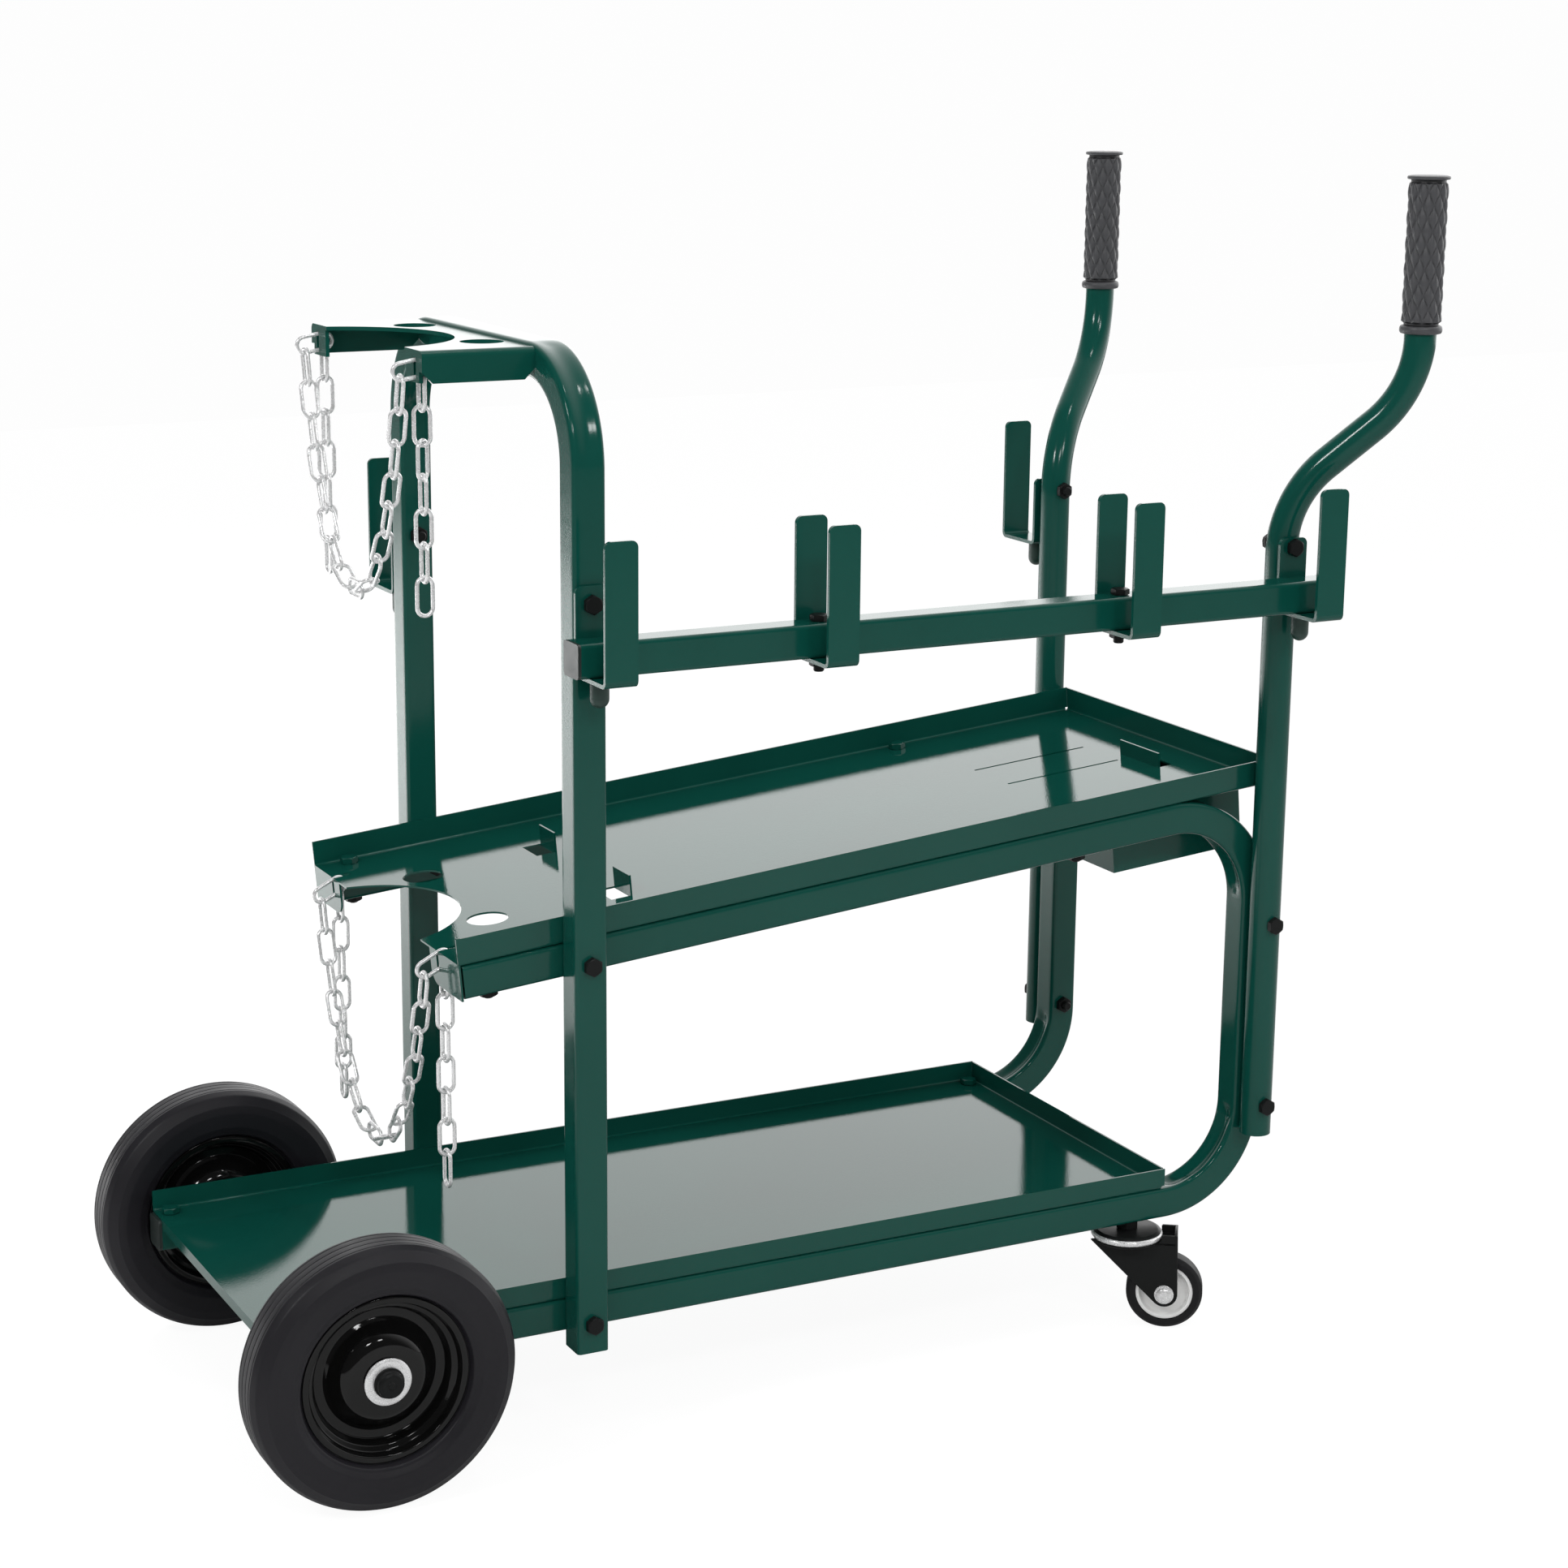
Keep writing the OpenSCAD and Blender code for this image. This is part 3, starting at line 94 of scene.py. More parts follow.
camera_data = bpy.data.cameras.new("photo_camera")
camera = bpy.data.objects.new("photo_camera", camera_data)
bpy.context.scene.collection.objects.link(camera)
camera_axes = np.column_stack([right, up, -forward])
camera.matrix_world = Matrix.Translation(camera_place) @ Matrix(camera_axes.tolist()).to_4x4()
camera_data.lens = camera_data.sensor_width * focal_pixels / PHOTO_PIXELS
camera_data.shift_x = (PHOTO_PIXELS / 2 - optical_centre[0]) / PHOTO_PIXELS
camera_data.shift_y = (optical_centre[1] - PHOTO_PIXELS / 2) / PHOTO_PIXELS
camera_data.clip_end = 50
bpy.context.scene.camera = camera
print("lens", round(camera_data.lens, 1), "mm")

# %% [markdown]
# Materials and the sky are small trees of nodes. They could be wired by hand in the
# Shader Editor. Here one helper empties a tree and hands back a function that adds a
# node, and each of the node's inputs takes a value or another node's output.

# %% Helpers for node trees
def new_tree(owner):
    """Empties the node tree of a material or a world. Returns a function that adds a
    node to it, with its inputs and its settings."""
    owner.use_nodes = True
    tree = owner.node_tree
    tree.nodes.clear()

    def add(kind, inputs=(), **settings):
        node = tree.nodes.new(kind)
        for name, value in settings.items():
            setattr(node, name, value)
        for name, value in dict(inputs).items():
            if isinstance(value, bpy.types.NodeSocket):
                tree.links.new(value, node.inputs[name])
            else:
                node.inputs[name].default_value = value
        return node
    return add


def blend(add, factor, low, high):
    """Output that runs from low to high as factor runs from 0 to 1."""
    mix = add("ShaderNodeMix", {"Factor": factor, "A": low, "B": high}, data_type="FLOAT")
    return mix.outputs["Result"]


# %% [markdown]
# The cart stands in a white studio. The floor and the sky could simply be lit until they
# clip, but then the paint would be washed out as well. Instead they answer camera rays
# with white, and give the object only a plain amount of soft light. Gloss paint shows
# what it mirrors, so for mirror rays the sky runs from dark on the camera's side to
# bright behind the cart's right end.

# %% Sky
STUDIO_LIGHT, SEEN_WHITE = 0.45, 0.985
MIRRORED_DARK, MIRRORED_BRIGHT = 0.1, 2.35
BRIGHT_WAY, BRIGHT_FROM = (0.80, 0.53, 0.28), 1.1
world = bpy.data.worlds.new("studio")
bpy.context.scene.world = world
add = new_tree(world)
direction = add("ShaderNodeTexCoord").outputs["Generated"]
toward_bright = add("ShaderNodeVectorMath", {0: direction, 1: BRIGHT_WAY},
                    operation="DOT_PRODUCT")
gradient = add("ShaderNodeMapRange",
               {"Value": toward_bright.outputs["Value"], "From Min": 0.0,
                "From Max": BRIGHT_FROM, "To Min": MIRRORED_DARK,
                "To Max": MIRRORED_BRIGHT}, interpolation_type="SMOOTHSTEP")
ray = add("ShaderNodeLightPath").outputs
unseen = blend(add, ray["Is Glossy Ray"], STUDIO_LIGHT, gradient.outputs["Result"])
strength = blend(add, ray["Is Camera Ray"], unseen, SEEN_WHITE)
sky = add("ShaderNodeBackground", {"Color": (1, 1, 1, 1), "Strength": strength})
add("ShaderNodeOutputWorld", {"Surface": sky.outputs[0]})
print("sky", SEEN_WHITE, "seen,", MIRRORED_DARK, "to", MIRRORED_BRIGHT, "mirrored")

# %% [markdown]
# A floor that only glows would show no shadow, and a matt floor alone would look grey.
# So for camera rays most of it glows and the rest is matt.

# %% Floor
FLOOR_HALF, FLOOR_GLOW, FLOOR_WHITE = 6.0, 0.85, 1.104
floor_mesh = bpy.data.meshes.new("floor")
floor_mesh.from_pydata([(x, y, 0) for x, y in ((-1, -1), (1, -1), (1, 1), (-1, 1))],
                       [], [(0, 1, 2, 3)])
floor_mesh.transform(Matrix.Scale(FLOOR_HALF, 4))
floor = bpy.data.objects.new("floor", floor_mesh)
bpy.context.scene.collection.objects.link(floor)

floor_material = bpy.data.materials.new("white_floor")
add = new_tree(floor_material)
matt = add("ShaderNodeBsdfDiffuse", {"Color": (0.8, 0.8, 0.8, 1)})
glow = add("ShaderNodeEmission", {"Strength": FLOOR_WHITE})
seen = add("ShaderNodeLightPath").outputs["Is Camera Ray"]
mixed = add("ShaderNodeMixShader", {0: blend(add, seen, 0.0, FLOOR_GLOW),
                                    1: matt.outputs[0], 2: glow.outputs[0]})
add("ShaderNodeOutputMaterial", {"Surface": mixed.outputs[0]})
floor_mesh.materials.append(floor_material)
print("floor", 2 * FLOOR_HALF, "m wide,", FLOOR_GLOW, "of it glows")

# %% [markdown]
# Thin bright lines on the tubes come from small lamps, so four glint lamps are small and
# the only ones that gloss mirrors. The large lamps light the paint evenly, and mirrored
# they would show as squares in the trays. A spot makes a bright pool on the floor behind
# the cart's left end, which the paint mirrors.

# %% Lamps
def lamp_object(name, kind, power, mirrored=False):
    """New lamp. Unless mirrored it gives light but shows in no gloss."""
    lamp = bpy.data.lights.new(name, kind)
    lamp.energy = power
    holder = bpy.data.objects.new(name, lamp)
    bpy.context.scene.collection.objects.link(holder)
    holder.visible_glossy, holder.visible_camera = mirrored, False
    return lamp, holder


def soft_lamp(name, place, power, size, mirrored=False):
    """Square area lamp that looks at the middle of the cart."""
    lamp, holder = lamp_object(name, "AREA", power, mirrored)
    lamp.size = size
    toward = (cad_low + cad_high) / 2 - Vector(place)
    holder.matrix_world = (Matrix.Translation(place)
                           @ toward.to_track_quat("-Z", "Y").to_matrix().to_4x4())


soft_lamp("key_lamp", (-1.6, -2.4, 2.6), 4, 1.6)
soft_lamp("left_glint_lamp", (-0.9, -2.9, 2.5), 13, 0.40, mirrored=True)
soft_lamp("right_glint_lamp", (0.3, -2.9, 2.5), 13, 0.40, mirrored=True)
soft_lamp("top_glint_lamp", (0.5, -0.9, 3.3), 6, 0.25, mirrored=True)
soft_lamp("side_glint_lamp", (-2.5, -0.9, 2.4), 24, 0.46, mirrored=True)
soft_lamp("fill_lamp", (2.2, -1.6, 1.6), 12, 2.0)
soft_lamp("back_lamp", (-0.6, 2.6, 2.4), 20, 2.0)
pool_lamp, pool_holder = lamp_object("floor_pool_lamp", "SPOT", 1500)
pool_lamp.spot_size, pool_lamp.spot_blend = math.radians(85), 1.0
pool_lamp.shadow_soft_size = 0.3
pool_holder.location = (-1.3, 2.5, 3.0)
bpy.context.scene.view_settings.view_transform = "Standard"
print(len(bpy.data.lights), "lamps")

# %% [markdown]
# Every finish on the cart is one of a few: gloss green powder paint, bright zinc, black
# steel, rubber and plastic. One function builds them all, because each is the same idea:
# a colour that drifts slightly over the surface, a gloss that is not quite even, and a
# fine unevenness such as the orange skin of baked paint. The patterns read Object
# coordinates, so they stay on the part when it turns.

# %% One function for every finish
finishes = {}


def finish(name, deep, light, rough=(0.3, 0.4), metallic=0.0, ior=1.5, drift=9.0,
           grain=700.0, relief=0.04, painted_shade_depth=0.0):
    """Adds a material to the finishes. Its colour runs from deep to light by soft noise,
    its roughness between two values by another noise, with a fine grain as relief. With a
    depth in metres for painted shade, the colour is instead painted shade: deep in the
    hollows of the shape, by how closed in ambient occlusion finds them within that depth."""
    material = bpy.data.materials.new(name)
    add = new_tree(material)
    place = add("ShaderNodeTexCoord").outputs["Object"]

    def noise(scale, detail):
        return add("ShaderNodeTexNoise",
                   {"Vector": place, "Scale": scale, "Detail": detail}).outputs["Fac"]

    share = noise(drift, 3.0)
    # Painted shade: ambient occlusion makes the colour deep in hollows and creases.
    if painted_shade_depth:
        painted_shade_ao = add("ShaderNodeAmbientOcclusion", {"Distance": painted_shade_depth}, samples=8)
        share = add("ShaderNodeMapRange", {"Value": painted_shade_ao.outputs["AO"],
                                           "From Min": 0.6}).outputs["Result"]
    colour = add("ShaderNodeMix", {"Factor": share, "A": (*deep, 1), "B": (*light, 1)},
                 data_type="RGBA")
    gloss = add("ShaderNodeMapRange",
                {"Value": noise(drift * 4, 4.0), "From Min": 0.3, "From Max": 0.7,
                 "To Min": rough[0], "To Max": rough[1]})
    skin = add("ShaderNodeBump", {"Strength": relief, "Distance": 0.001,
                                  "Height": noise(grain, 2.0)})
    shader = add("ShaderNodeBsdfPrincipled",
                 {"Base Color": colour.outputs["Result"], "Metallic": metallic,
                  "IOR": ior, "Roughness": gloss.outputs["Result"],
                  "Normal": skin.outputs["Normal"]})
    add("ShaderNodeOutputMaterial", {"Surface": shader.outputs[0]})
    finishes[name] = material

# %% [markdown]
# Colours are linear values here, so a dark green has small numbers. The trays have the
# smoothest paint, since they mirror the sky most clearly.

# %% Finishes
GREEN = (0.003, 0.060, 0.045), (0.004, 0.074, 0.056)
finish("frame_paint", *GREEN, rough=(0.12, 0.16), ior=1.35, relief=0.02)
finish("tray_paint", *GREEN, rough=(0.04, 0.07), ior=1.38)
finish("hanger_paint", (0.003, 0.062, 0.046), (0.004, 0.076, 0.058), rough=(0.14, 0.18),
       ior=1.35)
finish("cap_plastic", (0.012, 0.020, 0.018), (0.020, 0.028, 0.026), rough=(0.35, 0.45),
       grain=300.0)
# The grip's grooves get painted shade from ambient occlusion within 4 mm.
finish("grip", (0.006, 0.006, 0.007), (0.058, 0.059, 0.064), rough=(0.40, 0.48),
       grain=500.0, relief=0.12, painted_shade_depth=0.004)
finish("peg", (0.014, 0.040, 0.032), (0.022, 0.052, 0.042), rough=(0.4, 0.5))
finish("black_steel", (0.006, 0.0065, 0.0065), (0.011, 0.012, 0.012),
       rough=(0.30, 0.42), ior=1.24, grain=400.0)
finish("zinc", (0.80, 0.80, 0.80), (0.90, 0.90, 0.91), rough=(0.20, 0.34), metallic=0.5,
       drift=60.0, grain=500.0, relief=0.08)
finish("tyre", (0.009, 0.0085, 0.011), (0.014, 0.013, 0.017), rough=(0.40, 0.50),
       ior=1.36, grain=350.0, relief=0.08)
finish("rim", (0.003, 0.003, 0.003), (0.005, 0.005, 0.005), rough=(0.05, 0.08),
       ior=1.38, relief=0.02)
finish("caster_tread", (0.009, 0.009, 0.010), (0.014, 0.014, 0.015), rough=(0.42, 0.52),
       ior=1.26, grain=400.0)
finish("caster_core", (0.84, 0.84, 0.83), (0.92, 0.92, 0.91), rough=(0.3, 0.4))
slot_of = {part["node"]: part["material_slot"] for part in frame["record"]["subparts"]}
for node, cad_part in frame["nodes"].items():
    cad_part.data.materials.clear()
    cad_part.data.materials.append(finishes[slot_of[node]])
print(len(finishes), "finishes on", len(frame["nodes"]), "CAD parts")

# %% [markdown]
# The sizes below are in millimetres, with x measured from the axle of the large wheels,
# as on a drawing of the cart. The frame of the CAD model has its origin elsewhere and is
# in metres, so one function turns the one into the other.

# %% Millimetres from the axle
MM = 0.001
WHEEL_RADIUS, TRACK_HALF, FRAME_HALF = 101.6, 187.3, 156.0
SIDES = (("near", -1), ("far", 1))
wheel_low, wheel_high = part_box("near_tyre")
AXLE_X = (wheel_low[0] + wheel_high[0]) / 2


def in_cart(x, y, z):
    """Points of the cart's frame, in metres. x, y and z are arrays of one shape."""
    return np.stack([x * MM + AXLE_X, y * MM, z * MM], -1)


print("axle at", round(AXLE_X, 5), "m")

# %% [markdown]
# Nearly every piece made below is a ring of points that is carried along a path or round
# an axis. Blender could do this with curves and a Screw modifier, but a grid of points
# worked out with numpy says where each point lies, so dents, knurls and tread can be
# added to the formula itself.

# %% Meshes from rings of points
def round_angles(count):
    """Angles of count points spread evenly over a full turn."""
    return np.arange(count) * 2 * np.pi / count


def ring_faces(rows, columns, wrap_rows=False):
    """Faces between each ring of points and the next; columns always close on
    themselves, and the last row meets the first when wrap_rows is true."""
    row, column = np.meshgrid(np.arange(rows if wrap_rows else rows - 1),
                              np.arange(columns), indexing="ij")
    beside, above = (column + 1) % columns, (row + 1) % rows
    corners = (row * columns + column, row * columns + beside,
               above * columns + beside, above * columns + column)
    return np.stack(corners, -1).reshape(-1, 4).tolist()


def grid_part(grid, wrap_rows=False):
    """Points and faces of a grid of rings, with a flat face at both ends if it is open."""
    rows, columns = grid.shape[:2]
    faces = ring_faces(rows, columns, wrap_rows)
    if not wrap_rows:
        last = (rows - 1) * columns
        faces += [list(range(columns - 1, -1, -1)), list(range(last, last + columns))]
    return grid.reshape(-1, 3), faces


# %% Pieces from points and faces
def make_piece(name, parts, body, stands_for=(), smooth_under=38, slot_name=None):
    """One object from several parts, each made of points and faces. Points that meet are
    merged, faces are turned outward, and edges flatter than smooth_under degrees are
    shaded smooth. It rides on body and hides the CAD nodes that it stands for."""
    mesh = bpy.data.meshes.new(name)
    counts = np.cumsum([0] + [len(points) for points, _ in parts])
    faces = [[corner + int(start) for corner in face]
             for (_, part_faces), start in zip(parts, counts) for face in part_faces]
    mesh.from_pydata(np.concatenate([points for points, _ in parts]).tolist(), [], faces)
    work = bmesh.new()
    work.from_mesh(mesh)
    bmesh.ops.remove_doubles(work, verts=work.verts, dist=1e-6)
    bmesh.ops.recalc_face_normals(work, faces=work.faces)
    work.to_mesh(mesh)
    work.free()
    mesh.shade_smooth()
    mesh.set_sharp_from_angle(angle=math.radians(smooth_under))
    piece = bpy.data.objects.new(name, mesh)
    bpy.context.scene.collection.objects.link(piece)
    slot_name = slot_name or slot_of[stands_for[0]]
    mesh.materials.append(finishes[slot_name])
    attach(piece, body)
    if stands_for:
        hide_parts(*stands_for)
    print(name, len(mesh.polygons), "faces")


# %% [markdown]
# A bent tube is straight, then an arc, then straight again. A Blender curve with
# handles only comes near an arc. Here the arc is exact, and each point also knows how
# far into the bend it lies, which the dents of the bend need.

# %% Paths that bend
def bent_path(corners, bend_radius, turn_step=1.5, line_step=12.0):
    """Points, directions and bend shares along a flat line with round corners. Each
    corner is replaced by an arc that touches both lines at bend_radius times the tangent
    of half the turn from the corner. The bend share is the signed place within an arc,
    from 0 to 1, positive where the path turns left and 0 on the straights."""
    corners = np.array(corners, float)
    sides = np.diff(corners, axis=0)
    lengths = np.linalg.norm(sides, axis=1)
    headings = np.arctan2(sides[:, 1], sides[:, 0])
    turns = (np.diff(headings) + np.pi) % (2 * np.pi) - np.pi
    setbacks = np.concatenate([[0], bend_radius * np.tan(np.abs(turns) / 2), [0]])
    points, angles, shares = [], [], []
    for i, heading in enumerate(headings):
        along = np.array([math.cos(heading), math.sin(heading)])
        start, end = setbacks[i], lengths[i] - setbacks[i + 1]
        steps = max(2, int((end - start) / line_step) + 1)
        points.append(corners[i] + np.linspace(start, end, steps)[:, None] * along)
        angles.append(np.full(steps, heading))
        shares.append(np.zeros(steps))
        if i < len(turns):
            count = int(abs(math.degrees(turns[i])) / turn_step)
            part = np.arange(1, count) / count
            sign = np.sign(turns[i])
            centre = corners[i] + end * along + sign * bend_radius * np.array(
                [-along[1], along[0]])
            angle = heading + turns[i] * part
            points.append(centre + sign * bend_radius
                          * np.stack([np.sin(angle), -np.cos(angle)], -1))
            angles.append(angle)
            shares.append(sign * part)
    return np.concatenate(points), np.concatenate(angles), np.concatenate(shares)


# %% Rings along a path
def carried(path, angles, rings):
    """Rings of points carried along a flat path. In each ring the first value lies to the
    left of the path and the second along the normal of its plane. The result is rows by
    columns by (two directions in the plane, across it)."""
    left = np.stack([-np.sin(angles), np.cos(angles)], -1)
    flat = path[:, None, :] + rings[..., :1] * left[:, None, :]
    return np.concatenate([flat, rings[..., 1:]], -1)


def square_ring(side, corner, corner_points=6, flat_points=7):
    """Ring of points round a square with round corners, anticlockwise."""
    half, turn = side / 2, np.linspace(0, np.pi / 2, corner_points)
    arc = half - corner + corner * np.stack([np.cos(turn), np.sin(turn)], -1)
    between = np.linspace(half - corner, corner - half, flat_points + 2)[1:-1]
    edge = np.concatenate([arc, np.stack([between, np.full(flat_points, half)], -1)])
    quarter = np.array([[0, -1], [1, 0]])
    ring = [edge]
    for _ in range(3):
        ring.append(ring[-1] @ quarter.T)
    return np.concatenate(ring)


# %% [markdown]
# The side frames and the hoop are square tube. A square tube can't be bent cleanly: the
# bending shoe presses a long trough into its inner face, and its outer face sinks a
# little. Sculpting this by hand would be slow. Here each ring of the tube simply moves
# its inner and outer faces in, by the place within the bend and the distance from the
# middle of the face.

# %% Square tube with pressed bends
TUBE_SIDE, TUBE_CORNER, TUBE_WALL = 25.4, 3.0, 1.6
HALF_TUBE = TUBE_SIDE / 2
INNER_TROUGH, OUTER_TROUGH, TROUGH_EASE = 3.4, 1.1, 0.14
OPEN_DEPTH = 40.0


def tube_rings(shares):
    """Ring of the square tube for each place along a path. A trough's depth is its
    greatest depth times a window times a bell: the window rises and falls smoothly near
    both ends of the bend, and the bell is a squared cosine across the flat of the
    face."""
    ring = square_ring(TUBE_SIDE, TUBE_CORNER)
    rings = np.repeat(ring[None], len(shares), axis=0)
    place, sign = np.abs(shares), np.sign(shares)
    window = np.clip(np.minimum(place, 1 - place) / TROUGH_EASE, 0, 1)
    window = window * window * (3 - 2 * window)
    flat = HALF_TUBE - TUBE_CORNER
    bell = np.cos(np.clip(ring[:, 1] / flat, -1, 1) * np.pi / 2) ** 2
    for face in (-1, 1):
        on_face = ring[:, 0] * face > HALF_TUBE - TUBE_CORNER / 4
        outer_depth = np.where(sign == 0, 0, OUTER_TROUGH)
        depth = np.where(sign == face, INNER_TROUGH, outer_depth) * window
        rings[:, on_face, 0] -= face * depth[:, None] * bell[None, on_face]
    return rings


# %% Tubes and their planes
def square_tube(corners, bend_radius, to_world):
    """Square tube along a bent path, open at both ends with its wall showing. to_world
    turns the carried points into the cart's frame."""
    path, angles, shares = bent_path(corners, bend_radius)
    outside = tube_rings(shares)
    bore = square_ring(TUBE_SIDE - 2 * TUBE_WALL, TUBE_CORNER - TUBE_WALL)
    ends = []
    for end, sign in ((0, 1), (-1, -1)):
        way = np.array([math.cos(angles[end]), math.sin(angles[end])]) * sign
        line = path[end] + np.outer([0, OPEN_DEPTH], way)
        ends.append(carried(line, np.full(2, angles[end]), np.repeat(bore[None], 2, 0)))
    tube = carried(path, angles, outside)
    grid = np.concatenate([ends[0][::-1], tube, ends[1]])
    return grid_part(to_world(grid))


def in_side_plane(y):
    """Turns points carried in an upright plane along the cart into its frame."""
    return lambda grid: in_cart(grid[..., 0], grid[..., 2] + y, grid[..., 1])


def in_cross_plane(x):
    """Turns points carried in an upright plane across the cart into its frame."""
    return lambda grid: in_cart(grid[..., 2] + x, grid[..., 0], grid[..., 1])


# %% [markdown]
# Each side frame is one tube: the lower rail, a bend, the upright, a bend, and the rail
# under the upper tray, which slopes down to the front.

# %% Side frames
RAIL_HEIGHT, UPRIGHT_REACH, FRAME_BEND = 104.2, 778.0, 76.2
HOOP_REACH, UPPER_RAIL_HEIGHT, TRAY_SLOPE = 172.6, 383.3, math.radians(5.2)
RAIL_FRONT, UPPER_FRONT = -65.0, 80.0
TRAY_SHEET = 1.5
rail_y = FRAME_HALF - HALF_TUBE
upper_corner = UPPER_RAIL_HEIGHT + (UPRIGHT_REACH - HOOP_REACH) * math.tan(TRAY_SLOPE)
upper_end = UPPER_RAIL_HEIGHT - (HOOP_REACH - UPPER_FRONT) * math.tan(TRAY_SLOPE)
frame_line = [(RAIL_FRONT, RAIL_HEIGHT), (UPRIGHT_REACH, RAIL_HEIGHT),
              (UPRIGHT_REACH, upper_corner),
              (UPPER_FRONT + 2 * TRAY_SHEET, upper_end)]
for side, sign in SIDES:
    make_piece(f"{side}_bent_frame",
               [square_tube(frame_line, FRAME_BEND, in_side_plane(sign * rail_y))],
               "frame", [f"{side}_side_frame"])

# %% [markdown]
# The hoop that holds the gas cylinder is the same tube, bent to an upside-down U. It
# stands outside the side frames.

# %% Hoop
POST_FOOT, HOOP_HEIGHT, HOOP_BEND = 81.5, 828.5, 70.0
post_y = FRAME_HALF + HALF_TUBE
hoop_top = HOOP_HEIGHT - HALF_TUBE
hoop_line = [(-post_y, POST_FOOT), (-post_y, hoop_top), (post_y, hoop_top),
             (post_y, POST_FOOT)]
make_piece("bent_hoop", [square_tube(hoop_line, HOOP_BEND, in_cross_plane(HOOP_REACH))],
           "frame", ["hoop"])

# %% [markdown]
# The handles are round tube, bent twice so that the grips stand further back and further
# apart. A round tube goes slightly oval in a bend. A Bezier curve with a round bevel
# would keep it perfectly round, so rings are carried along the path here as well. The
# path lies in one upright plane that is turned outward.

# %% Handles
HANDLE_RADIUS, HANDLE_WALL, HANDLE_BEND = 12.7, 1.6, 94.0
HANDLE_FOOT, BEND_HEIGHT, OVAL = 159.0, 646.0, 0.04
HANDLE_TURN = math.radians(48.5)
GRIP_RADIUS, GRIP_RING_RADIUS, GRIP_LENGTH, GRIP_TOP = 15.5, 16.5, 120.5, 4.0
OVERALL_LENGTH, OVERALL_WIDTH, OVERALL_HEIGHT = 974.7, 489.0, 939.8
handle_y = FRAME_HALF + HANDLE_RADIUS
grip_x = OVERALL_LENGTH - WHEEL_RADIUS - GRIP_RING_RADIUS
grip_y = OVERALL_WIDTH / 2 - GRIP_RING_RADIUS
azimuth = math.atan2(grip_y - handle_y, grip_x - UPRIGHT_REACH)
offset = math.hypot(grip_x - UPRIGHT_REACH, grip_y - handle_y)
setback = HANDLE_BEND * math.tan(HANDLE_TURN / 2)
first_corner = BEND_HEIGHT + setback
second_corner = first_corner + offset / math.tan(HANDLE_TURN)
print("handle plane turned outward by", round(math.degrees(azimuth), 1), "degrees")


# %% Round tube
def round_rings(shares, radius, count=32):
    """Circle for each place along a path, flattened by the share OVAL times
    sin(pi share) in the bends."""
    turn = round_angles(count)
    oval = OVAL * np.sin(np.pi * np.abs(shares))[:, None]
    return np.stack([radius * (1 - oval) * np.cos(turn),
                     radius * np.sin(turn) + 0 * oval], -1)


def in_handle_plane(sign):
    """Turns points in a handle's own plane into the cart's frame. sign is -1 for the
    near side, whose plane turns the other way."""
    def convert(grid):
        out, height, across = grid[..., 0], grid[..., 1], grid[..., 2]
        x = UPRIGHT_REACH + out * math.cos(azimuth) - across * math.sin(azimuth)
        y = handle_y + out * math.sin(azimuth) + across * math.cos(azimuth)
        return in_cart(x, sign * y, height)
    return convert


def handle_tube(to_world):
    """Round tube along the handle's line, open at its foot with the wall showing."""
    line = [(0, HANDLE_FOOT), (0, first_corner), (offset, second_corner),
            (offset, OVERALL_HEIGHT - GRIP_TOP)]
    path, angles, shares = bent_path(line, HANDLE_BEND, turn_step=2.0)
    tube = carried(path, angles, round_rings(shares, HANDLE_RADIUS))
    bore_line = np.array([(0, HANDLE_FOOT + OPEN_DEPTH), (0, HANDLE_FOOT)])
    bore = carried(bore_line, np.full(2, angles[0]),
                   round_rings(np.zeros(2), HANDLE_RADIUS - HANDLE_WALL))
    return grid_part(to_world(np.concatenate([bore, tube])))


for side, sign in SIDES:
    make_piece(f"{side}_bent_handle", [handle_tube(in_handle_plane(sign))],
               "frame", [f"{side}_handle"])

# %% [markdown]
# The grips are moulded rubber with a pattern of diamonds. A bump texture would look flat
# at the outline, so the pattern is in the radius itself: grooves run along both
# diagonals, and what stands between them is a diamond. The finish paints shade into the
# grooves, darker where ambient occlusion finds them closed in.

# %% Grips
DIAMONDS_ROUND, DIAMOND_PITCH, DIAMOND_RISE = 10, 19.6, 2.1
SHARPNESS, GROOVE_FLOOR, PATTERN_EASE = 0.6, 0.5, 1.5
BOTTOM_RING, TOP_RING, RING_NECK, BEAD_ROUNDNESS = 6.5, 3.2, 1.6, 0.35


